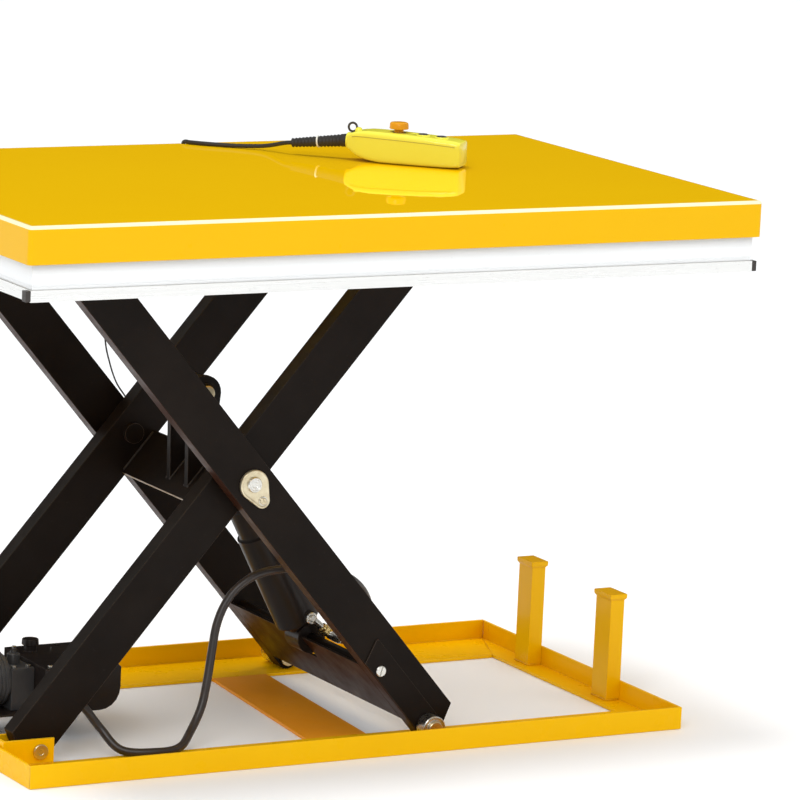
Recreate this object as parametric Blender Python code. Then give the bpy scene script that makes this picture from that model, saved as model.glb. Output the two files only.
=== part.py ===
"""Stationary hydraulic scissor lift table with a hand pendant, shown raised.

Frame: +Z up, floor at z = 0, origin under the middle of the platform,
+X along the table towards the roller end, +Y towards the back.
Distances along the table are laid out from the scissor centre at SX.
Lengths in metres.
"""
import bpy
import bmesh
from math import sin, cos, pi, radians, sqrt, atan2
from mathutils import Vector, Matrix

# ------------------------------------------------------------------ sizes
SX = -0.1854                 # scissor centre, along the table, when raised
SZ = 0.4432                  # scissor centre height when raised
THETA = radians(49.4)        # arm centreline above horizontal, raised
ARM_W = 0.0372               # half width of an arm
ARM_A = 0.5343               # end pivots, along the arm from the centre
ARM_C = 0.0184               # end pivots, off the arm's centreline
INNER_Y = (0.1765, 0.2085)   # inner arm, side faces
OUTER_Y = (0.2279, 0.2604)   # outer arm, side faces
GAP = 0.0003

DECK_L, DECK_W = 1.300, 0.800
DECK_TOP, DECK_WALL = 0.8902, 0.0592
DECK_T, WALL_T = 0.005, 0.004

BASE_X = (-0.4045, 0.7765)   # base ends, from the scissor centre line
BASE_Y = 0.3336
RAIL_H, RAIL_T = 0.0370, 0.005
SIDE_FLANGE, END_FLANGE = 0.1251, 0.0500

ROLLER_R, ROLLER_W = 0.0204, 0.026
PIN_R = 0.0125

CYL_A = (0.4020, -0.0240)    # lower eye of the cylinder on the outer arms (along, across)
CYL_B = (0.0935, -0.0510)    # rod eye in the lugs of the inner arms (along, below)
BARREL_R, GLAND_R, ROD_R, BARREL_END = 0.0375, 0.0330, 0.0200, 0.262
EYE_R, EYE_HY = 0.0255, 0.0240
LUG_R, LUG_Y = 0.0290, (0.0265, 0.0385)

CROSS = ((0.1425, -0.2082), (0.2520, -0.2082), (0.2830, 0.2082), (0.1810, 0.2082))   # cross plate corners
POST = ((-0.120, 0.0242), (0.1415, 0.0225))   # deck posts: y, half width
POST_X, POST_HX, POST_TOP = 0.7582, 0.0130, 0.1880

# ------------------------------------------------------------------ scene
for ob in list(bpy.data.objects):
    bpy.data.objects.remove(ob, do_unlink=True)

MATS = {}


def material(name, rgb, rough, metal):
    m = bpy.data.materials.new(name)
    m.use_nodes = True
    b = m.node_tree.nodes["Principled BSDF"]
    b.inputs["Base Color"].default_value = (*rgb, 1)
    b.inputs["Roughness"].default_value = rough
    b.inputs["Metallic"].default_value = metal
    MATS[name] = m


material("yellow_paint", (0.95, 0.53, 0.0), 0.25, 0.0)
material("black_paint", (0.018, 0.014, 0.011), 0.42, 0.0)
material("aluminium", (0.86, 0.87, 0.87), 0.38, 0.9)
material("zinc", (0.72, 0.70, 0.64), 0.30, 1.0)
material("gold_zinc", (0.75, 0.58, 0.28), 0.34, 1.0)
material("chrome", (0.85, 0.85, 0.85), 0.08, 1.0)
material("rubber", (0.015, 0.015, 0.015), 0.6, 0.0)
material("black_plastic", (0.03, 0.025, 0.022), 0.5, 0.0)
material("pendant_yellow", (0.90, 0.82, 0.03), 0.2, 0.0)
material("stop_red", (0.70, 0.16, 0.02), 0.3, 0.0)
material("button_dark", (0.05, 0.05, 0.05), 0.4, 0.0)
material("motor_grey", (0.05, 0.05, 0.055), 0.45, 0.2)
material("bronze", (0.55, 0.36, 0.15), 0.4, 1.0)

coll = bpy.context.scene.collection


def finish(name, bm, mat, smooth=None, origin=None, parent=None):
    bmesh.ops.recalc_face_normals(bm, faces=bm.faces)
    me = bpy.data.meshes.new(name)
    if origin is not None:
        bmesh.ops.translate(bm, verts=bm.verts, vec=-Vector(origin))
    bm.to_mesh(me)
    bm.free()
    ob = bpy.data.objects.new(name, me)
    coll.objects.link(ob)
    if origin is not None:
        ob.location = origin
    me.materials.append(MATS[mat])
    if smooth is not None:
        me.shade_smooth()
        me.set_sharp_from_angle(angle=radians(smooth))
    if parent is not None:
        ob.parent = parent
        ob.matrix_parent_inverse = Matrix.Translation(-Vector(parent.location))
    return ob


def empty(name, loc):
    e = bpy.data.objects.new(name, None)
    coll.objects.link(e)
    e.location = loc
    return e


def add_rings(bm, rings, closed=False, cap=True):
    """Skin a list of equal point rings; closed joins the last to the first."""
    vs = [[bm.verts.new(p) for p in r] for r in rings]
    n = len(vs[0])
    pairs = list(zip(vs[:-1], vs[1:])) + ([(vs[-1], vs[0])] if closed else [])
    for a, b in pairs:
        for i in range(n):
            j = (i + 1) % n
            bm.faces.new((a[i], a[j], b[j], b[i]))
    if cap and not closed:
        bm.faces.new(vs[0][::-1])
        bm.faces.new(vs[-1])


def place(axis, p, t):
    return {"x": (t, p[0], p[1]), "y": (p[0], t, p[1]), "z": (p[0], p[1], t)}[axis]


def prism(name, pts, axis, lo, hi, mat, **kw):
    bm = bmesh.new()
    add_rings(bm, [[place(axis, p, lo) for p in pts], [place(axis, p, hi) for p in pts]])
    return finish(name, bm, mat, **kw)


def box(name, x, y, z, mat, **kw):
    return prism(name, [(x[0], y[0]), (x[1], y[0]), (x[1], y[1]), (x[0], y[1])], "z", z[0], z[1], mat, **kw)


def frame_of(axis, centre):
    """Matrix that takes local +Z to axis at centre."""
    w = Vector(axis).normalized()
    ref = Vector((0, 1, 0)) if abs(w.y) < 0.9 else Vector((1, 0, 0))
    u = ref.cross(w).normalized()
    v = w.cross(u)
    m = Matrix((u, v, w)).transposed().to_4x4()
    m.translation = Vector(centre)
    return m


def lathe(name, profile, axis, centre, mat, seg=20, smooth=35, **kw):
    """Solid of revolution. profile is (t along the axis, radius > 0), capped."""
    m = frame_of(axis, centre)
    rings = [[m @ Vector((r * cos(2 * pi * i / seg), r * sin(2 * pi * i / seg), t)) for i in range(seg)]
             for t, r in profile]
    bm = bmesh.new()
    add_rings(bm, rings)
    return finish(name, bm, mat, smooth=smooth, **kw)


def ring_solid(name, profile, axis, centre, mat, seg=24, smooth=35, **kw):
    """Hollow solid of revolution from a closed (t, r) section."""
    m = frame_of(axis, centre)
    rings = [[m @ Vector((r * cos(2 * pi * i / seg), r * sin(2 * pi * i / seg), t)) for i in range(seg)]
             for t, r in profile]
    bm = bmesh.new()
    add_rings(bm, rings, closed=True)
    return finish(name, bm, mat, smooth=smooth, **kw)


def rect_ring(name, x, y, section, mat, **kw):
    """Rectangular hoop with mitred corners from a closed (inset, z) section."""
    rings = []
    for d, z in section:
        rings.append([(x[0] + d, y[0] + d, z), (x[1] - d, y[0] + d, z), (x[1] - d, y[1] - d, z), (x[0] + d, y[1] - d, z)])
    bm = bmesh.new()
    add_rings(bm, rings, closed=True)
    return finish(name, bm, mat, **kw)


def smooth_path(points, steps):
    """Catmull-Rom curve through the way points."""
    pts = [Vector(p) for p in points]
    pts = [2 * pts[0] - pts[1]] + pts + [2 * pts[-1] - pts[-2]]
    out = []
    for k in range(1, len(pts) - 2):
        p0, p1, p2, p3 = pts[k - 1:k + 3]
        for s in range(steps):
            t = s / steps
            out.append(0.5 * ((2 * p1) + (p2 - p0) * t + (2 * p0 - 5 * p1 + 4 * p2 - p3) * t * t
                              + (3 * p1 - p0 - 3 * p2 + p3) * t ** 3))
    out.append(pts[-2])
    return out


def sweep(name, path, radius, mat, seg=8, **kw):
    """Round section carried along a path with a rotation-minimising frame."""
    rings = []
    t_prev = (path[1] - path[0]).normalized()
    ref = Vector((0, 0, 1)) if abs(t_prev.z) < 0.8 else Vector((1, 0, 0))
    u = (ref - t_prev * ref.dot(t_prev)).normalized()
    for i, p in enumerate(path):
        a, b = path[max(i - 1, 0)], path[min(i + 1, len(path) - 1)]
        t = (b - a).normalized()
        u = (u - t * u.dot(t)).normalized()
        v = t.cross(u)
        r = radius(i / (len(path) - 1)) if callable(radius) else radius
        rings.append([p + u * (r * cos(2 * pi * k / seg)) + v * (r * sin(2 * pi * k / seg)) for k in range(seg)])
    bm = bmesh.new()
    add_rings(bm, rings)
    return finish(name, bm, mat, smooth=40, **kw)


def cut(ob, cutter, op="DIFFERENCE"):
    cutter.hide_render = True
    cutter.display_type = "WIRE"
    md = ob.modifiers.new(cutter.name, "BOOLEAN")
    md.operation = op
    md.object = cutter
    md.solver = "EXACT"


def hole(ob, centre, r, axis=(0, 1, 0), half=0.05, seg=20):
    c = lathe("cut_" + ob.name + "_%d" % len(ob.modifiers), [(-half, r), (half, r)], axis, centre, "zinc", seg=seg)
    cut(ob, c)


def ypair(side, y):
    """y range of a part on the front (-1) or rear (+1) side."""
    return (side * y[0], side * y[1]) if side > 0 else (-y[1], -y[0])


# ------------------------------------------------------------- arm frames
CT, ST = cos(THETA), sin(THETA)


def outer(a, c):
    """Point on the outer arms: a down the arm, c towards its upper edge."""
    return (SX + a * CT + c * ST, SZ - a * ST + c * CT)


def inner(a, c):
    """Point on the inner arms: a up the arm, c towards its lower edge."""
    return (SX + a * CT + c * ST, SZ + a * ST - c * CT)


LOW_R = outer(ARM_A, -ARM_C)      # lower roller axle
UP_L = outer(-ARM_A, ARM_C)       # platform pivot
LOW_L = inner(-ARM_A, ARM_C)      # base pivot
UP_R = inner(ARM_A, -ARM_C)       # upper roller axle
PA = outer(*CYL_A)
PB = inner(*CYL_B)
CYL_LEN = sqrt((PB[0] - PA[0]) ** 2 + (PB[1] - PA[1]) ** 2)
CYL_DIR = Vector(((PB[0] - PA[0]) / CYL_LEN, 0, (PB[1] - PA[1]) / CYL_LEN))

e_inner = empty("axis_lift", (LOW_L[0], 0, LOW_L[1]))
e_outer = empty("axis_scissor", (SX, 0, SZ))
e_deck = empty("axis_deck", (UP_L[0], 0, UP_L[1]))
e_trip = empty("axis_trip", (0, 0, 0.78))
e_barrel = empty("axis_cylinder", (PA[0], 0, PA[1]))
e_rod = empty("axis_rod", (PB[0], 0, PB[1]))


def arm_outline():
    """Half outline of one end, then the same turned half a turn."""
    end = [(0.5391, ARM_W), (0.5600, -0.0045)]
    for k in range(6):
        ang = radians(80 - 12 * k)
        end.append((ARM_A + 0.0200 * sin(ang), -ARM_C - 0.0200 * cos(ang)))
    end.append((ARM_A - 0.002, -ARM_W))
    return end + [(-a, -c) for a, c in end]


OUT = [outer(a, c) for a, c in arm_outline()]
INN = [(2 * SX - x, z) for x, z in OUT]

# ------------------------------------------------------------------- base
bx0, bx1 = SX + BASE_X[0], SX + BASE_X[1]
for side, nm in ((-1, "front"), (1, "rear")):
    s = side
    # side rail: an angle, mitred at 45 degrees at both ends
    yo, yi, yv = BASE_Y * s, (BASE_Y - SIDE_FLANGE) * s, (BASE_Y - RAIL_T) * s

    def mit(y, endf):
        d = (BASE_Y - abs(y)) * endf / SIDE_FLANGE
        return d + GAP / 2

    sec = [(yo, 0.0), (yi, 0.0), (yi, RAIL_T), (yv, RAIL_T), (yv, RAIL_H), (yo, RAIL_H)]
    ringL = [(bx0 + mit(y, END_FLANGE - 0.005), y, z) for y, z in sec]
    ringR = [(bx1 - mit(y, END_FLANGE), y, z) for y, z in sec]
    bm = bmesh.new()
    add_rings(bm, [ringL, ringR])
    finish("base_%s_rail" % nm, bm, "yellow_paint")
for xo, dirx, nm, fl in ((bx0, 1, "left", END_FLANGE - 0.005), (bx1, -1, "right", END_FLANGE)):
    def mity(x):
        return BASE_Y - abs(x - xo) * SIDE_FLANGE / fl - GAP / 2

    sec = [(xo, 0.0), (xo + dirx * fl, 0.0), (xo + dirx * fl, RAIL_T), (xo + dirx * RAIL_T, RAIL_T),
           (xo + dirx * RAIL_T, RAIL_H), (xo, RAIL_H)]
    bm = bmesh.new()
    add_rings(bm, [[(x, -mity(x) + 0.0006, z) for x, z in sec], [(x, mity(x) - 0.0006, z) for x, z in sec]])
    finish("base_%s_rail" % nm, bm, "yellow_paint")

# flat plate across the base, set slightly askew
cy = BASE_Y - SIDE_FLANGE - GAP
prism("base_cross_plate", [(SX + x, y) for x, y in CROSS], "z", 0.0, RAIL_T, "yellow_paint")

# deck posts, rectangular tube with a flared cap
for (py, hy), nm in zip(POST, ("front", "rear")):
    rings = []
    for z, f in ((RAIL_T + GAP, 0.0), (POST_TOP - 0.0115, 0.0), (POST_TOP - 0.0070, 0.0032), (POST_TOP - 0.0005, 0.0034), (POST_TOP, 0.0026)):
        hx, hh = POST_HX + f, hy + f
        rings.append([(SX + POST_X - hx, py - hh, z), (SX + POST_X + hx, py - hh, z),
                      (SX + POST_X + hx, py + hh, z), (SX + POST_X - hx, py + hh, z)])
    bm = bmesh.new()
    add_rings(bm, rings)
    finish("deck_post_%s" % nm, bm, "yellow_paint")

# ------------------------------------------------ pivot brackets and pins


def u_bracket(name, px, pz, y_in, y_out, x_back, x_nose, z, mat, parent=None):
    """Two walls joined by a back wall, bored for the pivot pin."""
    t = 0.005
    a, b = (y_in - t, y_in), (y_out, y_out + t)
    s = 1 if y_out > 0 else -1
    pts = [(x_back, y_in - t * s), (x_nose, y_in - t * s), (x_nose, y_in), (x_back + t, y_in),
           (x_back + t, y_out), (x_nose, y_out), (x_nose, y_out + t * s), (x_back, y_out + t * s)]
    ob = prism(name, pts, "z", z[0], z[1], mat, parent=parent)
    hole(ob, (px, (y_in + y_out) / 2, pz), 0.0103)
    return ob


for s, nm in ((-1, "front"), (1, "rear")):
    u_bracket("base_pivot_bracket_%s" % nm, LOW_L[0], LOW_L[1], s * 0.1725, s * 0.2115,
              LOW_L[0] - 0.0640, LOW_L[0] + 0.0240, (RAIL_T + GAP, 0.0460), "yellow_paint")
    lathe("base_pivot_pin_%s" % nm,
          [(0.1627, 0.0125), (0.1672, 0.0125), (0.1672, 0.0100), (0.2168, 0.0100), (0.2168, 0.0125), (0.2213, 0.0125)],
          (0, s, 0), (LOW_L[0], 0, LOW_L[1]), "zinc")
    u_bracket("deck_pivot_bracket_%s" % nm, UP_L[0], UP_L[1], s * 0.2246, s * 0.2636,
              UP_L[0] - 0.0610, UP_L[0] + 0.0260, (0.8410, DECK_TOP - DECK_T - GAP), "yellow_paint", parent=e_deck)
    lathe("deck_pivot_pin_%s" % nm,
          [(0.2148, 0.0125), (0.2193, 0.0125), (0.2193, 0.0100), (0.2689, 0.0100), (0.2689, 0.0125), (0.2734, 0.0125)],
          (0, s, 0), (UP_L[0], 0, UP_L[1]), "zinc", parent=e_deck)

# ------------------------------------------------------------ hydraulics
tray_x = (bx0 + RAIL_T + 0.0008, SX - 0.1750)
prism("pump_tray", [(tray_x[0], RAIL_T + GAP), (tray_x[0] + 0.034, RAIL_T + GAP), (tray_x[0] + 0.034, 0.0425),
                    (tray_x[1], 0.0425), (tray_x[1], 0.0460), (tray_x[0] + 0.0305, 0.0460),
                    (tray_x[0] + 0.0305, 0.0093), (tray_x[0], 0.0093)], "y", -0.060, 0.060, "black_paint")
tx0, tx1, tz0, tz1 = SX - 0.2650, SX - 0.1306, 0.0463, 0.1215
tank = [(tx0, tz1), (tx0, tz0 + 0.03)]
for k in range(1, 6):
    ang = radians(90 * k / 5)
    tank.append((tx0 + 0.03 - 0.03 * cos(ang), tz0 + 0.03 - 0.03 * sin(ang)))
for k in range(6):
    ang = radians(90 * k / 5)
    tank.append((tx1 - 0.036 + 0.036 * sin(ang), tz0 + 0.036 - 0.036 * cos(ang)))
tank += [(tx1, tz1 - 0.006), (tx1 - 0.006, tz1)]
tk = prism("pump_tank", tank, "y", -0.080, 0.080, "black_paint")
cap = lathe("cut_filler", [(-0.004, 0.011), (0.010, 0.011), (0.010, 0.014), (0.020, 0.0135)], (0, 0, 1),
            (tx0 + 0.03, 0.045, tz1), "black_plastic", seg=14)
cut(tk, cap, "UNION")
box("pump_valve_block", (SX - 0.3050, SX - 0.2653), (-0.040, 0.040), (0.0463, 0.1150), "zinc")
mz = 0.0920
lathe("pump_motor", [(-0.0950, 0.030), (-0.0900, 0.040), (-0.0860, 0.045), (-0.0060, 0.045), (-0.0060, 0.040), (-0.0005, 0.040)],
      (1, 0, 0), (SX - 0.3050, 0, mz), "motor_grey", seg=24)

# hose: from the valve side of the tank, down to the floor, up and over to the cylinder port
hose_way = [(-0.2620, -0.0900, 0.0980), (-0.2700, -0.1300, 0.1000), (-0.2420, -0.1650, 0.0830), (-0.2140, -0.1800, 0.0460),
            (-0.1900, -0.2120, 0.0150), (-0.1350, -0.2330, 0.0123), (-0.0930, -0.2240, 0.0145), (-0.0600, -0.1930, 0.0290),
            (-0.0330, -0.1760, 0.0640), (-0.0190, -0.1660, 0.1060), (-0.0080, -0.1560, 0.1480), (0.0030, -0.1480, 0.1900),
            (0.0200, -0.1430, 0.2230), (0.0420, -0.1420, 0.2480), (0.0720, -0.1440, 0.2660), (0.1080, -0.1480, 0.2740),
            (0.1650, -0.1500, 0.2740), (0.2200, -0.1470, 0.2620), (0.2650, -0.1350, 0.2360), (0.2960, -0.1150, 0.2000),
            (0.3080, -0.0900, 0.1620), (0.3000, -0.0680, 0.1310), (0.2840, -0.0540, 0.1240), (0.2654, -0.0480, 0.1340)]
sweep("hydraulic_hose", smooth_path([(SX + x, y, z) for x, y, z in hose_way], 2), 0.0068, "rubber", seg=7)

# ------------------------------------------------------------------- arms
for s, nm in ((-1, "front"), (1, "rear")):
    ia = prism("inner_arm_%s" % nm, INN, "y", *ypair(s, INNER_Y), "black_paint", parent=e_inner)
    mid = s * (INNER_Y[0] + INNER_Y[1]) / 2
    hole(ia, (SX, mid, SZ), PIN_R + 0.0003)
    hole(ia, (LOW_L[0], mid, LOW_L[1]), 0.0103)
    hole(ia, (UP_R[0], mid, UP_R[1]), 0.0103)
    oa = prism("outer_arm_%s" % nm, OUT, "y", *ypair(s, OUTER_Y), "black_paint", parent=e_outer)
    # welded doubler plate over the lower half of the roller end
    dbl = [(0.3729, -ARM_W + 0.0006), (0.3561, 0.0026), (0.3640, 0.0062), (0.5440, 0.0062), (0.5500, -0.0120),
           (0.5460, -0.0280), (0.5370, -ARM_W + 0.0006)]
    pl = prism("cut_doubler_%s" % nm, [outer(a, c) for a, c in dbl], "y", *ypair(s, (OUTER_Y[1] - 0.001, OUTER_Y[1] + 0.003)),
               "black_paint")
    cut(oa, pl, "UNION")
    mid = s * (OUTER_Y[0] + OUTER_Y[1]) / 2
    hole(oa, (SX, mid, SZ), PIN_R + 0.0003)
    hole(oa, (LOW_R[0], mid, LOW_R[1]), 0.0103)
    hole(oa, (UP_L[0], mid, UP_L[1]), 0.0103)
    hole(oa, (PA[0], mid, PA[1]), 0.0093)
    # centre pin, its spacer bush between the arms, and the plate that keeps it
    lathe("centre_pin_%s" % nm, [(0.1690, 0.0170), (0.1761, 0.0170), (0.1761, PIN_R), (0.2690, PIN_R), (0.2700, PIN_R - 0.001)],
          (0, s, 0), (SX, 0, SZ), "zinc", seg=24, parent=e_outer)
    ring_solid("centre_bush_%s" % nm, [(INNER_Y[1] + GAP, 0.0128), (OUTER_Y[0] - GAP, 0.0128), (OUTER_Y[0] - GAP, 0.0210),
                                      (INNER_Y[1] + GAP, 0.0210)], (0, s, 0), (SX, 0, SZ), "bronze", parent=e_outer)
    # teardrop plate: a large round end on the pin, a small round end on its screw
    r1, r2, dist = 0.0245, 0.0125, 0.0300
    tip = radians(-60)
    beta = pi / 2 - atan2(r1 - r2, sqrt(dist ** 2 - (r1 - r2) ** 2))
    pts = []
    for k in range(15):
        g = tip + beta + (2 * pi - 2 * beta) * k / 14
        pts.append((SX + 0.001 + r1 * cos(g), SZ - 0.001 + r1 * sin(g)))
    for k in range(7):
        g = tip - beta + 2 * beta * k / 6
        pts.append((SX + 0.001 + dist * cos(tip) + r2 * cos(g), SZ - 0.001 + dist * sin(tip) + r2 * sin(g)))
    rp = prism("retaining_plate_%s" % nm, pts, "y", *ypair(s, (OUTER_Y[1] + GAP, OUTER_Y[1] + 0.0060)), "gold_zinc",
               parent=e_outer)
    hole(rp, (SX, s * 0.2630, SZ), PIN_R + 0.0003, seg=24)
    scr = lathe("cut_screw_%s" % nm, [(OUTER_Y[1] + 0.004, 0.0055), (OUTER_Y[1] + 0.0095, 0.0055), (OUTER_Y[1] + 0.0105, 0.0045)],
                (0, s, 0), (SX + 0.001 + dist * cos(tip), 0, SZ - 0.001 + dist * sin(tip)), "zinc", seg=12)
    cut(rp, scr, "UNION")
    # rollers and their axles
    yl = OUTER_Y[1] + 0.0036
    lathe("lower_roller_axle_%s" % nm,
          [(OUTER_Y[0] - 0.0055, 0.014), (OUTER_Y[0] - GAP, 0.014), (OUTER_Y[0] - GAP, 0.0100),
           (yl + ROLLER_W + 0.0004, 0.0100), (yl + ROLLER_W + 0.0004, 0.0125), (yl + ROLLER_W + 0.0044, 0.0118)],
          (0, s, 0), (LOW_R[0], 0, LOW_R[1]), "gold_zinc", parent=e_outer)
    ring_solid("lower_roller_%s" % nm, [(yl, 0.0103), (yl, 0.0185), (yl + 0.002, ROLLER_R), (yl + ROLLER_W - 0.002, ROLLER_R),
                                       (yl + ROLLER_W, 0.0185), (yl + ROLLER_W, 0.0103)],
               (0, s, 0), (LOW_R[0], 0, LOW_R[1]), "zinc", seg=22, origin=(LOW_R[0], s * (yl + ROLLER_W / 2), LOW_R[1]),
               parent=e_outer)
    yu = INNER_Y[1] + 0.0033
    lathe("upper_roller_axle_%s" % nm,
          [(INNER_Y[0] - 0.0055, 0.014), (INNER_Y[0] - GAP, 0.014), (INNER_Y[0] - GAP, 0.0100),
           (yu + ROLLER_W + 0.0004, 0.0100), (yu + ROLLER_W + 0.0004, 0.0125), (yu + ROLLER_W + 0.0044, 0.0118)],
          (0, s, 0), (UP_R[0], 0, UP_R[1]), "gold_zinc", parent=e_inner)
    ring_solid("upper_roller_%s" % nm, [(yu, 0.0103), (yu, 0.0185), (yu + 0.002, ROLLER_R), (yu + ROLLER_W - 0.002, ROLLER_R),
                                       (yu + ROLLER_W, 0.0185), (yu + ROLLER_W, 0.0103)],
               (0, s, 0), (UP_R[0], 0, UP_R[1]), "zinc", seg=22, origin=(UP_R[0], s * (yu + ROLLER_W / 2), UP_R[1]),
               parent=e_inner)

# plate joining the inner arms below the centre, with a pair of tall lugs for the rod
ty = INNER_Y[0] - GAP
tp = prism("torque_plate", [inner(a, c) for a, c in ((-0.061, 0.0292), (0.028, 0.0292), (0.028, ARM_W), (-0.061, ARM_W))],
           "y", -ty, ty, "black_paint", parent=e_inner)
ear = [(0.0240, 0.0330)]
for k in range(13):
    g = radians(51 - 180 * k / 12)
    ear.append((CYL_B[0] + LUG_R * cos(g), CYL_B[1] + LUG_R * sin(g)))
ear.append((-0.0440, 0.0330))
for t in (-1, 1):
    er = prism("cut_ear_%d" % (t + 1), [inner(a, c) for a, c in ear], "y", *ypair(t, LUG_Y), "black_paint")
    cut(tp, er, "UNION")
    bs = lathe("cut_boss_%d" % (t + 1), [(LUG_Y[1] - 0.002, 0.0160), (LUG_Y[1] + 0.0050, 0.0160), (LUG_Y[1] + 0.0060, 0.0150)],
               (0, t, 0), (PB[0], 0, PB[1]), "gold_zinc", seg=20)
    cut(tp, bs, "UNION")

# plate joining the outer arms near the roller end, notched round the cylinder's eye
oy = OUTER_Y[0] - GAP
ot = prism("outer_tie_plate", [outer(a, c) for a, c in ((0.385, -ARM_W), (0.512, -ARM_W), (0.512, -0.0336), (0.385, -0.0336))],
           "y", -oy, oy, "black_paint", parent=e_outer)
nt = prism("cut_tie_notch", [outer(a, c) for a, c in ((0.370, -0.0500), (0.4335, -0.0500), (0.4335, -0.0200), (0.370, -0.0200))],
           "y", -EYE_HY - 0.003, EYE_HY + 0.003, "black_paint")
cut(ot, nt)

# shaft that carries the cylinder, from arm to arm
lathe("cylinder_shaft", [(-0.2668, 0.0090), (0.2668, 0.0090)], (0, 1, 0), (PA[0], 0, PA[1]), "zinc", seg=20, parent=e_outer)

# --------------------------------------------------------------- cylinder
base_pt = (PA[0], 0, PA[1])
br = lathe("cylinder_barrel",
           [(0.018, 0.020), (0.029, 0.023), (0.031, BARREL_R), (0.2050, BARREL_R), (0.2065, GLAND_R), (0.2570, GLAND_R),
            (BARREL_END, GLAND_R - 0.004)], CYL_DIR, base_pt, "black_paint", seg=28, parent=e_barrel)
ey = lathe("cut_eye", [(-EYE_HY, EYE_R), (EYE_HY, EYE_R)], (0, 1, 0), base_pt, "black_paint", seg=24)
cut(br, ey, "UNION")
hole(br, base_pt, 0.0093, half=0.04, seg=20)
bore = lathe("cut_bore", [(0.040, ROD_R + 0.0004), (0.300, ROD_R + 0.0004)], CYL_DIR, base_pt, "black_paint", seg=24)
cut(br, bore)
rd = lathe("cylinder_rod", [(0.188, ROD_R - 0.001), (0.189, ROD_R), (CYL_LEN - 0.014, ROD_R)], CYL_DIR, base_pt, "chrome", seg=24,
           parent=e_rod)
re = lathe("cut_rodeye", [(-EYE_HY, EYE_R), (EYE_HY, EYE_R)], (0, 1, 0), (PB[0], 0, PB[1]), "chrome", seg=24)
cut(rd, re, "UNION")
hole(rd, (PB[0], 0, PB[1]), PIN_R + 0.0003, half=0.04, seg=20)
lathe("rod_pin", [(-0.0255, PIN_R), (0.0255, PIN_R)], (0, 1, 0), (PB[0], 0, PB[1]), "zinc", seg=20, parent=e_rod)

# --------------------------------------------------------------- platform
hx, hy = DECK_L / 2, DECK_W / 2


def round_rect(hx, hy, r, z, n=4):
    out = []
    for cx, cy_, a0 in ((hx - r, hy - r, 0), (-hx + r, hy - r, 90), (-hx + r, -hy + r, 180), (hx - r, -hy + r, 270)):
        for k in range(n + 1):
            a = radians(a0 + 90 * k / n)
            out.append((cx + r * cos(a), cy_ + r * sin(a), z))
    return out


rings = [round_rect(hx, hy, 0.0075, DECK_TOP - DECK_WALL)]
for k in range(5):
    a = radians(90 * k / 4)
    d = 0.0060 * (1 - cos(a))
    rings.append(round_rect(hx - d, hy - d, 0.0075 - d, DECK_TOP - 0.0060 + 0.0060 * sin(a)))
bm = bmesh.new()
add_rings(bm, rings)
deck = finish("deck", bm, "yellow_paint", smooth=30, parent=e_deck)
cav = box("cut_deck", (-hx + WALL_T, hx - WALL_T), (-hy + WALL_T, hy - WALL_T), (0.70, DECK_TOP - DECK_T), "yellow_paint")
cut(deck, cav)
notch = box("cut_notch", (SX + 0.1760, SX + 0.1880), (hy - 0.0130, hy + 0.02), (0.70, 0.95), "yellow_paint")
cut(deck, notch)

# roller tracks and two ties under the deck, one welded frame
tz = (SZ * 2 - LOW_R[1] + ROLLER_R + GAP, DECK_TOP - DECK_T - GAP)
fr = box("deck_underframe", (SX + 0.2600, SX + 0.2850), (-0.230, 0.230), tz, "yellow_paint", parent=e_deck)
t2 = box("cut_tie", (SX + 0.7800, SX + 0.8020), (-0.230, 0.230), tz, "yellow_paint")
cut(fr, t2, "UNION")
for s, nm in ((-1, "front"), (1, "rear")):
    ya, yb, yc = 0.2060 * s, 0.2445 * s, 0.2485 * s
    tr = prism("cut_track_%s" % nm, [(ya, tz[0]), (yb, tz[0]), (yb, 0.8460), (yc, 0.8460), (yc, tz[1]), (ya, tz[1])], "x",
               SX + 0.2600, SX + 0.8020, "yellow_paint")
    md = fr.modifiers.new("track_%s" % nm, "BOOLEAN")
    md.operation, md.object, md.solver = "UNION", tr, "EXACT"
    tr.hide_render, tr.display_type = True, "WIRE"

# fixed skirt and the sprung trip profile that runs round its lower edge
rect_ring("safety_skirt", (-hx, hx), (-hy, hy), [(0.0120, 0.7870), (0.0142, 0.7870), (0.0142, 0.8847), (0.0120, 0.8847)],
          "aluminium", parent=e_deck)
rect_ring("trip_bar", (-hx, hx), (-hy, hy),
          [(0.0090, 0.7729), (0.0174, 0.7729), (0.0174, 0.7913), (0.0156, 0.7913), (0.0156, 0.7747), (0.0108, 0.7747),
           (0.0108, 0.7913), (0.0090, 0.7913)], "aluminium", parent=e_trip)
for sx_, na in ((-1, "left"), (1, "right")):
    for sy_, nb in ((-1, "front"), (1, "rear")):
        xa, xb = sorted((sx_ * (hx - 0.0087), sx_ * (hx - 0.0008)))
        ya, yb = sorted((sy_ * (hy - 0.0090), sy_ * (hy - 0.0230)))
        box("trip_cap_%s_%s" % (nb, na), (xa, xb), (ya, yb), (0.7738, 0.7904), "black_plastic", parent=e_trip)

# ---------------------------------------------------------------- pendant
PC = Vector((SX + 0.4480, 0.1000, DECK_TOP + 0.0004))
PDIR = radians(-44.5)
pu = Vector((cos(PDIR), sin(PDIR), 0))
pv = Vector((-sin(PDIR), cos(PDIR), 0))
HALF = 0.099
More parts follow.
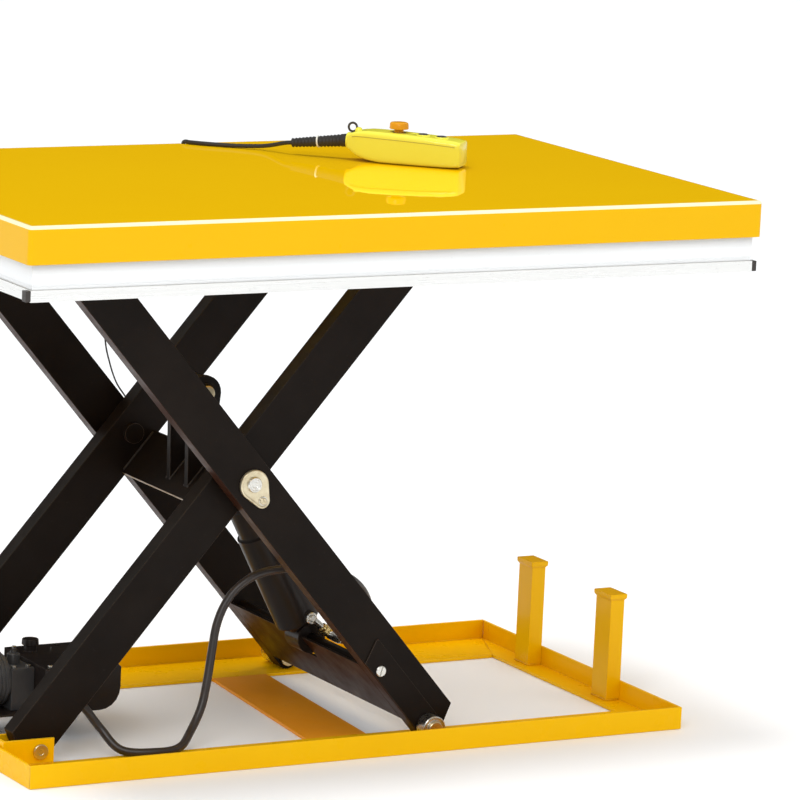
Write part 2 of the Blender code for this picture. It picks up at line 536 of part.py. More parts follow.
# distance from the cable end, half width, underside, top
STATIONS = [(0.000, 0.0130, 0.0200, 0.0420), (0.008, 0.0180, 0.0150, 0.0460), (0.020, 0.0240, 0.0080, 0.0500),
            (0.038, 0.0285, 0.0030, 0.0520), (0.060, 0.0300, 0.0000, 0.0520), (0.100, 0.0300, 0.0000, 0.0510),
            (0.145, 0.0295, 0.0000, 0.0490), (0.175, 0.0280, 0.0005, 0.0470), (0.190, 0.0250, 0.0020, 0.0440),
            (0.198, 0.0190, 0.0060, 0.0390)]
rings = []
for t, w, z0, z1 in STATIONS:
    ring = []
    for k in range(20):
        a = 2 * pi * k / 20
        ca, sa = cos(a), sin(a)
        ex = 0.42
        yy = w * (abs(ca) ** ex) * (1 if ca >= 0 else -1)
        zz = (z0 + z1) / 2 + (z1 - z0) / 2 * (abs(sa) ** ex) * (1 if sa >= 0 else -1)
        ring.append(PC + pu * (t - HALF) + pv * yy + Vector((0, 0, zz)))
    rings.append(ring)
bm = bmesh.new()
add_rings(bm, rings)
case = finish("pendant_case", bm, "pendant_yellow", smooth=40, parent=e_deck)
BUTTONS = (("up_button", 0.128, 0.0495, 0.0085, "button_dark"), ("down_button", 0.160, 0.0480, 0.0085, "button_dark"))
for nm, t, ztop, r, mt in BUTTONS:
    c = PC + pu * (t - HALF)
    pk = lathe("cut_pocket_" + nm, [(ztop - 0.0120, r + 0.0004), (ztop + 0.02, r + 0.0004)], (0, 0, 1), c, "zinc", seg=20)
    cut(case, pk)
    o = c + Vector((0, 0, ztop))
    lathe(nm, [(ztop - 0.0070, r), (ztop + 0.0018, r), (ztop + 0.0026, r - 0.0010)], (0, 0, 1), c, mt, seg=20, origin=o,
          parent=e_deck)
c = PC + pu * (0.086 - HALF)
pk = lathe("cut_pocket_stop", [(0.0360, 0.0084), (0.09, 0.0084)], (0, 0, 1), c, "zinc", seg=20)
cut(case, pk)
lathe("stop_button", [(0.0420, 0.0080), (0.0580, 0.0080), (0.0580, 0.0150), (0.0605, 0.0165), (0.0640, 0.0165), (0.0668, 0.0140),
                      (0.0678, 0.0100)], (0, 0, 1), c, "stop_red", seg=24, origin=c + Vector((0, 0, 0.058)), parent=e_deck)

# boot and cable, one moulded lead: boot at the pendant, cable over the deck and down the rear notch
p0 = PC - pu * (HALF + 0.0022) + Vector((0, 0, 0.031))
zc = DECK_TOP + 0.0039
boot_end = PC - pu * (HALF + 0.100) + Vector((0, 0, 0.0190))
way = [p0, p0.lerp(boot_end, 0.33), p0.lerp(boot_end, 0.66), boot_end,
       Vector((SX + 0.2830, 0.2880, zc + 0.0040)), Vector((SX + 0.2500, 0.3190, zc + 0.0005)),
       Vector((SX + 0.2150, 0.3480, zc)), Vector((SX + 0.1880, 0.3760, zc)), Vector((SX + 0.1822, 0.3900, zc - 0.0005)),
       Vector((SX + 0.1820, 0.3957, zc - 0.0080)), Vector((SX + 0.1820, 0.3957, 0.8650)), Vector((SX + 0.1820, 0.3957, 0.8360))]
cable_path = smooth_path(way, 4)
NB = 12


def lead_r(u):
    i = u * (len(cable_path) - 1)
    if i <= NB:
        base = 0.0108 - 0.0030 * i / NB
        return base - (0.0009 if int(round(i)) % 2 else 0.0)
    return 0.0033 + 0.0040 * max(0.0, 1 - (i - NB) / 1.0)


sweep("pendant_lead", cable_path, lead_r, "rubber", seg=8, parent=e_deck)

bpy.context.view_layer.update()
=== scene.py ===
"""Looks for the scissor lift table: finer pieces, procedural materials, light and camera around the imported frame."""
import bpy
import bmesh
from math import sin, cos, pi, radians, sqrt, atan2
from mathutils import Vector, Matrix


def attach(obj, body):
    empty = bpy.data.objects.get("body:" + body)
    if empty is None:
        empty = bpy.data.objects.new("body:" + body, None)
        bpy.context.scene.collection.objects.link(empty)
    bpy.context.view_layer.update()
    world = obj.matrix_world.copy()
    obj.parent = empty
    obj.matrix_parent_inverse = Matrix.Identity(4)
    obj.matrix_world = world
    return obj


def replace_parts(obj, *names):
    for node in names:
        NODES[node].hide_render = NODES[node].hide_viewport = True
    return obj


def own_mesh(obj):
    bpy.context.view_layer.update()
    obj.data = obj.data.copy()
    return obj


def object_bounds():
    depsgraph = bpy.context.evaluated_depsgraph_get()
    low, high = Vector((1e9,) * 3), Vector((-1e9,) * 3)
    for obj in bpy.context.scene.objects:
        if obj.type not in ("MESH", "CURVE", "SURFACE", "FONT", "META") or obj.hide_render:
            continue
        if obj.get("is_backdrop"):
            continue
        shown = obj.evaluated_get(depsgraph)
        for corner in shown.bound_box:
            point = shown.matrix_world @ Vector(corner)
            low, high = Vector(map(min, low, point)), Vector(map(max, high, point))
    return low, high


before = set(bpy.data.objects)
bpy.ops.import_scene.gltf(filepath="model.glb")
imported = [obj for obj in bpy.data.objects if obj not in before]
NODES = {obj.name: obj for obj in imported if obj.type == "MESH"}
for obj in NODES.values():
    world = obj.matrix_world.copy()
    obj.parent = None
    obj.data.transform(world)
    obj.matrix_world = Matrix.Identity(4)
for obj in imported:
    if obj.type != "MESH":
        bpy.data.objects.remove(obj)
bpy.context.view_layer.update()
scene = bpy.context.scene
coll = scene.collection

# ------------------------------------------------------------------ sizes
SX, SZ = -0.1854, 0.4432
THETA = radians(49.4)
CT, ST = cos(THETA), sin(THETA)
ARM_W, ARM_A, ARM_C = 0.0372, 0.5343, 0.0184
INNER_Y, OUTER_Y = (0.1765, 0.2085), (0.2279, 0.2604)
DECK_TOP, DECK_WALL, HX, HY = 0.8902, 0.0592, 0.650, 0.400
BASE_Y, RAIL_T, RAIL_H = 0.3336, 0.005, 0.037
BX0, BX1 = SX - 0.4045, SX + 0.7765
PIN_R, ROLLER_R, ROLLER_W = 0.0125, 0.0204, 0.026
BARREL_R, ROD_R, EYE_R, EYE_HY = 0.0375, 0.0200, 0.0255, 0.0240


def outer(a, c):
    return (SX + a * CT + c * ST, SZ - a * ST + c * CT)


def inner(a, c):
    return (SX + a * CT + c * ST, SZ + a * ST - c * CT)


LOW_R, UP_L = outer(ARM_A, -ARM_C), outer(-ARM_A, ARM_C)
LOW_L, UP_R = inner(-ARM_A, ARM_C), inner(ARM_A, -ARM_C)
PA, PB = outer(0.402, -0.024), inner(0.0935, -0.0510)
CYL_LEN = sqrt((PB[0] - PA[0]) ** 2 + (PB[1] - PA[1]) ** 2)
CYL_DIR = Vector(((PB[0] - PA[0]) / CYL_LEN, 0, (PB[1] - PA[1]) / CYL_LEN))

# -------------------------------------------------------------- materials
MATS = {}


def material(name, c1, c2=None, rough=0.3, rvar=0.06, metal=0.0, coat=0.0, coat_rough=0.03, nscale=7.0, mix=0.5,
             bump=0.05, bscale=350.0, bdist=0.0004, stretch=None, down=None, edge=None, facing=None, spec=0.5,
             grime=None, wave=None, detail=5.0):
    """Principled surface with patchy colour, uneven sheen, fine relief and, where asked, lighter edges that are partly
    wear and partly a painted highlight, and painted warm bounce light on faces that point down or along a given
    direction.
    """
    m = bpy.data.materials.new(name)
    m.use_nodes = True
    nt = m.node_tree
    n, l = nt.nodes, nt.links
    b = n["Principled BSDF"]
    tc = n.new("ShaderNodeTexCoord")
    src = tc.outputs["Object"]
    if stretch:
        mp = n.new("ShaderNodeMapping")
        mp.inputs["Scale"].default_value = stretch
        l.new(src, mp.inputs["Vector"])
        src = mp.outputs["Vector"]

    def noise(scale, det=detail, rgh=0.55, vec=None):
        t = n.new("ShaderNodeTexNoise")
        t.inputs["Scale"].default_value = scale
        t.inputs["Detail"].default_value = det
        t.inputs["Roughness"].default_value = rgh
        l.new(vec or src, t.inputs["Vector"])
        return t.outputs["Fac"]

    def ramp(fac, p0, p1, v0=0.0, v1=1.0):
        r = n.new("ShaderNodeMapRange")
        r.inputs["From Min"].default_value, r.inputs["From Max"].default_value = p0, p1
        r.inputs["To Min"].default_value, r.inputs["To Max"].default_value = v0, v1
        l.new(fac, r.inputs["Value"])
        return r.outputs["Result"]

    def blend(fac, a, c, kind="MIX"):
        x = n.new("ShaderNodeMix")
        x.data_type, x.blend_type = "RGBA", kind
        l.new(fac, x.inputs["Factor"])
        for v, s in ((a, x.inputs["A"]), (c, x.inputs["B"])):
            if isinstance(v, tuple):
                s.default_value = (*v, 1)
            else:
                l.new(v, s)
        return x.outputs["Result"]

    big = noise(nscale)
    col = blend(ramp(big, 0.35, 0.70, 0.0, mix), c1, c2 or tuple(0.8 * v for v in c1))
    if grime:
        spots = noise(grime[1], 8.0, 0.7, tc.outputs["Object"])
        col = blend(ramp(spots, grime[2], grime[2] + 0.12, 0.0, grime[3]), col, grime[0])
    geo = n.new("ShaderNodeNewGeometry")
    # painted bounce light: faces that point down get the warm down colour, standing in for light thrown up from the
    # yellow base
    if down:
        sx = n.new("ShaderNodeSeparateXYZ")
        l.new(geo.outputs["Normal"], sx.inputs["Vector"])
        col = blend(ramp(sx.outputs["Z"], -0.25, -0.55), col, down)
    # painted reflection: faces turned toward the facing direction get the lighter facing colour, standing in for warm
    # light from the yellow base
    if facing:
        dp = n.new("ShaderNodeVectorMath")
        dp.operation = "DOT_PRODUCT"
        dp.inputs[1].default_value = facing[0]
        l.new(geo.outputs["Normal"], dp.inputs[0])
        col = blend(ramp(dp.outputs["Value"], 0.93, 0.97), col, facing[1])
    if edge:
        # edges take the lighter edge colour, broken into patches by noise: partly wear, partly a painted highlight
        bv = n.new("ShaderNodeBevel")
        bv.samples = 4
        bv.inputs["Radius"].default_value = edge[1]
        dp = n.new("ShaderNodeVectorMath")
        dp.operation = "DOT_PRODUCT"
        l.new(bv.outputs["Normal"], dp.inputs[0])
        l.new(geo.outputs["Normal"], dp.inputs[1])
        edge_wear_and_highlight = ramp(dp.outputs["Value"], 0.98, 0.80, 0.0, edge[2])
        patch = ramp(noise(28.0, 6.0, 0.6, tc.outputs["Object"]), 0.30, 0.55, 0.35, 1.0)
        mm = n.new("ShaderNodeMath")
        mm.operation = "MULTIPLY"
        l.new(edge_wear_and_highlight, mm.inputs[0])
        l.new(patch, mm.inputs[1])
        col = blend(mm.outputs[0], col, edge[0])
    l.new(col, b.inputs["Base Color"])
    l.new(ramp(noise(nscale * 3.1), 0.3, 0.7, max(0.0, rough - rvar), rough + rvar), b.inputs["Roughness"])
    b.inputs["Metallic"].default_value = metal
    b.inputs["Coat Weight"].default_value = coat
    b.inputs["Coat Roughness"].default_value = coat_rough
    b.inputs["Specular IOR Level"].default_value = spec
    height = noise(bscale, 3.0, 0.5)
    if wave:
        w = n.new("ShaderNodeTexWave")
        w.wave_type, w.bands_direction = "BANDS", wave[0]
        w.inputs["Scale"].default_value = wave[1]
        w.inputs["Distortion"].default_value = wave[2]
        l.new(tc.outputs["Object"], w.inputs["Vector"])
        height = w.outputs["Fac"]
    bp = n.new("ShaderNodeBump")
    bp.inputs["Strength"].default_value = bump
    bp.inputs["Distance"].default_value = bdist
    l.new(height, bp.inputs["Height"])
    l.new(bp.outputs["Normal"], b.inputs["Normal"])
    MATS[name] = m
    return m


YEL, YEL2 = (0.90, 0.505, 0.0), (0.86, 0.455, 0.0)
# frame paint: the lighter edge colour is partly wear, partly a painted highlight
material("frame_paint", YEL, YEL2, rough=0.30, coat=0.02, coat_rough=0.08, nscale=5, mix=0.45, bump=0.10, bscale=260, spec=0.10,
         edge=((0.92, 0.62, 0.12), 0.0022, 0.45), grime=((0.35, 0.15, 0.02), 60, 0.66, 0.4))
material("deck_paint", (1.0, 0.59, 0.0), (0.98, 0.56, 0.0), rough=0.24, rvar=0.03, coat=1.0, coat_rough=0.012, nscale=3,
         mix=0.35, bump=0.02, bscale=90, bdist=0.0002, spec=0.0)
material("deck_wall", (0.82, 0.455, 0.0), (0.80, 0.43, 0.0), rough=0.30, rvar=0.03, coat=0.04, nscale=4, mix=0.35, bump=0.03,
         bscale=200, spec=0.12)
# painted highlight: pale cream on the rounded top edge of the deck, standing in for the light it catches
material("deck_edge_highlight", (1.0, 0.93, 0.58), (1.0, 0.88, 0.46), rough=0.25, coat=0.8, nscale=6, mix=0.4, bump=0.03, bscale=200)
# arm paint: down is painted warm bounce light on the undersides; the lighter edge colour is partly wear, partly a
# painted highlight
material("arm_paint", (0.0075, 0.0048, 0.0033), (0.0130, 0.0084, 0.0058), rough=0.42, rvar=0.08, coat=0.0, coat_rough=0.25,
         nscale=9, mix=0.7, bump=0.12, bscale=420, down=(0.034, 0.0115, 0.0055), edge=((0.16, 0.12, 0.09), 0.0018, 0.75),
         grime=((0.036, 0.029, 0.024), 140, 0.62, 0.40), spec=0.09)
# torque plate paint: down is painted bounce light on the undersides, facing a painted warm reflection on the lower edge
# faces; lighter edges are partly wear, partly a painted highlight
material("torque_paint", (0.0095, 0.0068, 0.0052), (0.017, 0.011, 0.008), rough=0.40, rvar=0.08, coat=0.0, coat_rough=0.2, spec=0.12,
         nscale=9, mix=0.7, bump=0.12, bscale=420, down=(0.040, 0.0125, 0.0060), edge=((0.16, 0.12, 0.09), 0.0018, 0.6),
         facing=((-CT, 0, -ST), (0.30, 0.20, 0.09)), grime=((0.06, 0.045, 0.03), 120, 0.6, 0.4))
material("skirt_alu", (0.90, 0.91, 0.91), (0.80, 0.81, 0.82), rough=0.34, rvar=0.05, metal=0.55, nscale=4, mix=0.35,
         bump=0.06, bscale=60, stretch=(0.6, 0.6, 40), grime=((0.62, 0.63, 0.64), 90, 0.63, 0.5))
material("trip_alu", (0.88, 0.88, 0.86), (0.76, 0.76, 0.74), rough=0.30, rvar=0.05, metal=0.6, nscale=4, mix=0.4,
         bump=0.06, bscale=60, stretch=(0.6, 0.6, 40), grime=((0.55, 0.55, 0.53), 70, 0.62, 0.5))
material("zinc", (0.74, 0.73, 0.69), (0.58, 0.55, 0.48), rough=0.28, metal=1.0, nscale=60, mix=0.6, bump=0.10, bscale=700)
material("gold_zinc", (0.78, 0.64, 0.38), (0.60, 0.52, 0.36), rough=0.32, metal=1.0, nscale=70, mix=0.8, bump=0.10,
         bscale=600, grime=((0.30, 0.22, 0.12), 260, 0.62, 0.5))
material("plate_zinc", (0.74, 0.66, 0.47), (0.60, 0.50, 0.32), rough=0.36, metal=0.85, nscale=80, mix=0.8, bump=0.12,
         bscale=500, grime=((0.30, 0.20, 0.10), 200, 0.60, 0.6))
material("chrome", (0.86, 0.87, 0.88), (0.80, 0.80, 0.82), rough=0.07, rvar=0.02, metal=1.0, nscale=20, bump=0.01, bscale=900)
material("rubber", (0.020, 0.018, 0.017), (0.034, 0.030, 0.027), rough=0.50, nscale=30, mix=0.6, bump=0.25, bscale=900,
         grime=((0.09, 0.075, 0.06), 300, 0.64, 0.35))
material("hose_rubber", (0.022, 0.016, 0.014), (0.040, 0.028, 0.022), rough=0.38, nscale=40, mix=0.6, coat=0.2, coat_rough=0.3,
         bump=0.35, bscale=1200, grime=((0.10, 0.08, 0.06), 260, 0.66, 0.3))
material("black_plastic", (0.030, 0.024, 0.021), (0.045, 0.036, 0.030), rough=0.45, nscale=50, mix=0.5, bump=0.2, bscale=900)
material("pendant_yellow", (0.82, 0.77, 0.070), (0.80, 0.73, 0.050), rough=0.20, rvar=0.03, coat=0.3, coat_rough=0.05,
         nscale=12, mix=0.4, bump=0.06, bscale=420, spec=0.3)
material("pendant_line", (0.46, 0.38, 0.03), (0.36, 0.30, 0.02), rough=0.5, nscale=40, bump=0.1)
material("stop_orange", (0.70, 0.31, 0.005), (0.60, 0.22, 0.004), rough=0.30, coat=0.12, nscale=60, mix=0.6, bump=0.05, spec=0.2)
material("button_dark", (0.035, 0.033, 0.032), (0.06, 0.055, 0.05), rough=0.35, coat=0.3, nscale=60, bump=0.1)
material("white_ring", (0.80, 0.80, 0.74), (0.66, 0.66, 0.60), rough=0.4, nscale=60, bump=0.05)
material("bronze", (0.55, 0.36, 0.15), (0.40, 0.24, 0.09), rough=0.35, metal=1.0, nscale=60, mix=0.6, bump=0.1, bscale=600)
material("brass", (0.80, 0.62, 0.28), (0.66, 0.46, 0.18), rough=0.25, metal=1.0, nscale=50, mix=0.5, bump=0.05, bscale=600)
# motor and tank paints: the lighter edge colour is partly wear, partly a painted highlight
material("motor_paint", (0.045, 0.045, 0.048), (0.070, 0.068, 0.066), rough=0.42, metal=0.2, nscale=20, mix=0.5, bump=0.15,
         bscale=500, edge=((0.2, 0.2, 0.2), 0.0012, 0.5))
material("tank_paint", (0.013, 0.0095, 0.0085), (0.022, 0.015, 0.011), rough=0.33, coat=0.06, coat_rough=0.15, spec=0.2, nscale=10, mix=0.6,
         bump=0.10, bscale=350, edge=((0.14, 0.10, 0.07), 0.0015, 0.5))
# painted shade: the cross plate's yellow paint is given the deeper orange-brown it shows in the shade under the table
material("cross_paint", (0.92, 0.36, 0.020), (0.86, 0.31, 0.015), rough=0.36, coat=0.03, nscale=6, mix=0.5, bump=0.10, bscale=260,
         spec=0.12, grime=((0.35, 0.15, 0.02), 60, 0.64, 0.5))
material("weld_paint", (0.80, 0.43, 0.0), (0.60, 0.27, 0.0), rough=0.35, spec=0.2, coat=0.1, coat_rough=0.1, nscale=120, mix=0.8,
         bump=0.8, bscale=260, bdist=0.001)
material("weld_black", (0.020, 0.014, 0.011), (0.045, 0.032, 0.024), rough=0.4, nscale=120, mix=0.8, bump=0.8, bscale=260,
         bdist=0.001)

# seen from above the deck keeps the tone of its walls
dk = MATS["deck_paint"].node_tree
db = dk.nodes["Principled BSDF"]
lw, lr, lm = dk.nodes.new("ShaderNodeLayerWeight"), dk.nodes.new("ShaderNodeMapRange"), dk.nodes.new("ShaderNodeMix")
lw.inputs["Blend"].default_value = 0.5
lr.inputs["From Min"].default_value, lr.inputs["From Max"].default_value = 0.58, 0.80
lm.data_type = "RGBA"
dk.links.new(lw.outputs["Facing"], lr.inputs["Value"])
dk.links.new(lr.outputs["Result"], lm.inputs["Factor"])
lm.inputs["A"].default_value = (0.76, 0.42, 0.0, 1)
dk.links.new(db.inputs["Base Color"].links[0].from_socket, lm.inputs["B"])
dk.links.new(lm.outputs["Result"], db.inputs["Base Color"])


# ---------------------------------------------------------------- builders
def finish(name, bm, mat, body, slot, angle=35, bevel=0.0, seg=3, limit=30, fresh=True):
    bmesh.ops.recalc_face_normals(bm, faces=bm.faces)
    me = bpy.data.meshes.new(name)
    bm.to_mesh(me)
    bm.free()
    ob = bpy.data.objects.new(name, me)
    coll.objects.link(ob)
    me.materials.append(MATS[mat])
    me.shade_smooth()
    if bevel:
        md = ob.modifiers.new("edge", "BEVEL")
        md.width, md.segments, md.limit_method, md.angle_limit = bevel, seg, "ANGLE", radians(limit)
        md.harden_normals = True
        md.use_clamp_overlap = True
    else:
        me.set_sharp_from_angle(angle=radians(angle))
    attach(ob, body)
    return ob


def skin(bm, rings, closed=False, cap=True):
    vs = [[bm.verts.new(p) for p in r] for r in rings]
    n = len(vs[0])
    for a, b in list(zip(vs[:-1], vs[1:])) + ([(vs[-1], vs[0])] if closed else []):
        for i in range(n):
            j = (i + 1) % n
            bm.faces.new((a[i], a[j], b[j], b[i]))
    if cap and not closed:
        bm.faces.new(vs[0][::-1])
        bm.faces.new(vs[-1])


def frame_of(axis, centre):
    w = Vector(axis).normalized()
    ref = Vector((0, 1, 0)) if abs(w.y) < 0.9 else Vector((1, 0, 0))
    u = ref.cross(w).normalized()
    m = Matrix((u, w.cross(u), w)).transposed().to_4x4()
    m.translation = Vector(centre)
    return m


def lathe(name, profile, axis, centre, mat, body, slot, seg=64, closed=False, bevel=0.0005, bm=None, **kw):
    m = frame_of(axis, centre)
    rings = [[m @ Vector((r * cos(2 * pi * i / seg), r * sin(2 * pi * i / seg), t)) for i in range(seg)] for t, r in profile]
    own = bm is None
    bm = bm or bmesh.new()
    skin(bm, rings, closed=closed)
    return finish(name, bm, mat, body, slot, bevel=bevel, **kw) if own else None


def place(axis, p, t):
    return {"x": (t, p[0], p[1]), "y": (p[0], t, p[1]), "z": (p[0], p[1], t)}[axis]


def prism(name, pts, axis, lo, hi, mat, body, slot, bevel=0.0008, bm=None, **kw):
    own = bm is None
    bm = bm or bmesh.new()
    skin(bm, [[place(axis, p, lo) for p in pts], [place(axis, p, hi) for p in pts]])
    return finish(name, bm, mat, body, slot, bevel=bevel, **kw) if own else None


def curve(points, steps):
    pts = [Vector(p) for p in points]
    pts = [2 * pts[0] - pts[1]] + pts + [2 * pts[-1] - pts[-2]]
    out = []
    for k in range(1, len(pts) - 2):
        p0, p1, p2, p3 = pts[k - 1:k + 3]
        for s in range(steps):
            t = s / steps
            out.append(0.5 * ((2 * p1) + (p2 - p0) * t + (2 * p0 - 5 * p1 + 4 * p2 - p3) * t * t
                              + (3 * p1 - p0 - 3 * p2 + p3) * t ** 3))
    out.append(pts[-2])
    return out


def tube(name, path, radius, mat, body, slot, seg=18, bm=None, **kw):
    """Round section on a path, closed with flat caps."""
    rings = []
    t0 = (path[1] - path[0]).normalized()
    ref = Vector((0, 0, 1)) if abs(t0.z) < 0.8 else Vector((1, 0, 0))
    u = (ref - t0 * ref.dot(t0)).normalized()
    for i, p in enumerate(path):
        a, b = path[max(i - 1, 0)], path[min(i + 1, len(path) - 1)]
        t = (b - a).normalized()
        u = (u - t * u.dot(t)).normalized()
        v = t.cross(u)
        r = radius(i / (len(path) - 1)) if callable(radius) else radius
        rings.append([p + u * (r * cos(2 * pi * k / seg)) + v * (r * sin(2 * pi * k / seg)) for k in range(seg)])
    own = bm is None
    bm = bm or bmesh.new()
    skin(bm, rings)
    return finish(name, bm, mat, body, slot, angle=60, **kw) if own else None


def bead(bm, a, b, r=0.0024, pitch=0.0035):
    """Rippled weld run from a to b."""
    a, b = Vector(a), Vector(b)
    n = max(4, int((b - a).length / pitch) * 2)
    path = [a.lerp(b, i / n) for i in range(n + 1)]
    tube("", path, lambda u: r * ((1.0 if int(round(u * n)) % 2 else 0.80) if 0 < u < 1 else 0.4), None, None, None, seg=8, bm=bm)


def cutter(ob, pts_bm, nm):
    """Cuts a shape out of a piece for good, so the cut travels with it."""
    me = bpy.data.meshes.new(nm)
    bmesh.ops.recalc_face_normals(pts_bm, faces=pts_bm.faces)
    pts_bm.to_mesh(me)
    pts_bm.free()
    c = bpy.data.objects.new(nm, me)
    coll.objects.link(c)
    others = list(ob.modifiers)
    for md in others:
        md.show_viewport = False
    cut = ob.modifiers.new(nm, "BOOLEAN")
    cut.operation, cut.object, cut.solver = "DIFFERENCE", c, "EXACT"
    bpy.context.view_layer.update()
    dg = bpy.context.evaluated_depsgraph_get()
    done = bpy.data.meshes.new_from_object(ob.evaluated_get(dg), preserve_all_data_layers=True, depsgraph=dg)
    ob.modifiers.remove(ob.modifiers[nm])
    for md in others:
        md.show_viewport = True
    ob.data = done
    bpy.data.objects.remove(c)


def keep(node, mat, bevel=0.0008, seg=3, limit=30):
    """A CAD node stays as it is and gets rounded edges and its finish."""
    ob = NODES[node]
    me = ob.data
    if "custom_normal" in me.attributes:
        me.attributes.remove(me.attributes["custom_normal"])
    me.materials.clear()
    me.materials.append(MATS[mat])
    me.shade_smooth()
    w = ob.modifiers.new("weld", "WELD")
    w.merge_threshold = 0.00002
    if bevel:
        md = ob.modifiers.new("edge", "BEVEL")
        md.width, md.segments, md.limit_method, md.angle_limit = bevel, seg, "ANGLE", radians(limit)
        md.harden_normals = True
    else:
        me.set_sharp_from_angle(angle=radians(35))
    return ob


# ------------------------------------------------------- kept frame parts
for nd in ("base_front_rail", "base_rear_rail", "base_left_rail", "base_right_rail"):
    keep(nd, "frame_paint", 0.0009)
# the cross plate uses the orange paint with painted shade
keep("base_cross_plate", "cross_paint", 0.0006)
for nd in ("deck_post_front", "deck_post_rear"):
    keep(nd, "deck_wall", 0.0012)
for nd in ("base_pivot_bracket_front", "base_pivot_bracket_rear", "deck_pivot_bracket_front", "deck_pivot_bracket_rear",
           "deck_underframe"):
    keep(nd, "frame_paint", 0.0005)
keep("pump_tray", "tank_paint", 0.0006)
keep("pump_tank", "tank_paint", 0.0012)
keep("pump_valve_block", "motor_paint", 0.0012)
keep("torque_plate", "torque_paint", 0.0007)
keep("outer_tie_plate", "arm_paint", 0.0008)
keep("trip_bar", "trip_alu", 0.0004)
for a in ("front", "rear"):
    for b_ in ("left", "right"):
        keep("trip_cap_%s_%s" % (a, b_), "black_plastic", 0.0006)

# ------------------------------------------------------------------- deck
def round_rect(hx, hy, r, z, n=8):
    out = []
    for cx, cy_, a0 in ((hx - r, hy - r, 0), (-hx + r, hy - r, 90), (-hx + r, -hy + r, 180), (hx - r, -hy + r, 270)):
        for k in range(n + 1):
            a = radians(a0 + 90 * k / n)
            out.append((cx + r * cos(a), cy_ + r * sin(a), z))
    return out


bm = bmesh.new()
RE = 0.0060
rings = [round_rect(HX - 0.004, HY - 0.004, 0.0035, DECK_TOP - 0.0050), round_rect(HX - 0.004, HY - 0.004, 0.0035, DECK_TOP - DECK_WALL),
         round_rect(HX - 0.0035, HY - 0.0035, 0.0040, DECK_TOP - DECK_WALL), round_rect(HX - 0.0004, HY - 0.0004, 0.0071, DECK_TOP - DECK_WALL),
         round_rect(HX, HY, 0.0075, DECK_TOP - DECK_WALL + 0.0006), round_rect(HX, HY, 0.0075, DECK_TOP - RE - 0.0004)]
for k in range(11):
    a = radians(90 * k / 10)
    d = RE * (1 - cos(a))
    rings.append(round_rect(HX - d, HY - d, 0.0075 - d, DECK_TOP - RE + RE * sin(a)))
rings.append(round_rect(HX - RE - 0.0010, HY - RE - 0.0010, 0.0010, DECK_TOP))
skin(bm, rings)
deck = finish("deck_shell", bm, "deck_paint", "platform", "yellow_paint", angle=60)
deck.data.materials.append(MATS["deck_edge_highlight"])
deck.data.materials.append(MATS["deck_wall"])
bmn = bmesh.new()
skin(bmn, [[(SX + 0.1760, HY - 0.0130, z), (SX + 0.1880, HY - 0.0130, z), (SX + 0.1880, HY + 0.02, z), (SX + 0.1760, HY + 0.02, z)]
           for z in (0.70, 0.95)])
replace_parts(deck, "deck")
# the rounded top edge takes the painted highlight material, the side walls the wall paint
for p in deck.data.polygons:
    c = p.center
    if DECK_TOP - RE + 0.0005 < c.z < DECK_TOP - 0.00002 and p.normal.z > 0.15:
        p.material_index = 1
    elif abs(p.normal.z) < 0.5:
        p.material_index = 2
cutter(deck, bmn, "notch_cutter")
wn = deck.modifiers.new("weighted", "WEIGHTED_NORMAL")
wn.keep_sharp = True

# skirt: extruded profile with a top ledge, two grooves and a foot
sec = [(0.0120, 0.7870), (0.0142, 0.7870), (0.0142, 0.8847), (0.0120, 0.8847), (0.0120, 0.8300), (0.0108, 0.8296), (0.0104, 0.8286),
       (0.0104, 0.8000), (0.0108, 0.7990), (0.0117, 0.7986), (0.0117, 0.7962), (0.0120, 0.7960)]
bm = bmesh.new()
skin(bm, [[(-HX + d, -HY + d, z), (HX - d, -HY + d, z), (HX - d, HY - d, z), (-HX + d, HY - d, z)] for d, z in sec], closed=True)
sk = finish("skirt_profile", bm, "skirt_alu", "platform", "aluminium", angle=30, bevel=0.0003, seg=2)
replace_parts(sk, "safety_skirt")

# -------------------------------------------------------------------- arms
def arm_outline(n=14):
    end = [(0.5391, ARM_W), (0.5600, -0.0045)]
    for k in range(n + 1):
        ang = radians(80 - 60 * k / n)
        end.append((ARM_A + 0.0200 * sin(ang), -ARM_C - 0.0200 * cos(ang)))
    end.append((ARM_A - 0.002, -ARM_W))
    return end + [(-a, -c) for a, c in end]


OUT = [outer(a, c) for a, c in arm_outline()]
INN = [(2 * SX - x, z) for x, z in OUT]
DBL = [(0.3729, -ARM_W + 0.0006), (0.3561, 0.0026), (0.3575, 0.0048), (0.3600, 0.0060), (0.3640, 0.0062), (0.5440, 0.0062),
       (0.5500, -0.0120), (0.5460, -0.0280), (0.5370, -ARM_W + 0.0006)]
for s, nm in ((-1, "front"), (1, "rear")):
    lo, hi = sorted((s * INNER_Y[0], s * INNER_Y[1]))
    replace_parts(prism("arm_inner_%s" % nm, INN, "y", lo, hi, "arm_paint", "inner_arms", "black_paint", bevel=0.0011),
                "inner_arm_%s" % nm)
    lo, hi = sorted((s * OUTER_Y[0], s * OUTER_Y[1]))
    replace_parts(prism("arm_outer_%s" % nm, OUT, "y", lo, hi, "arm_paint", "outer_arms", "black_paint", bevel=0.0011),
                "outer_arm_%s" % nm)
    lo, hi = sorted((s * (OUTER_Y[1] + 0.0001), s * (OUTER_Y[1] + 0.003)))
    prism("doubler_%s" % nm, [outer(a, c) for a, c in DBL], "y", lo, hi, "arm_paint", "outer_arms", "black_paint", bevel=0.0006)

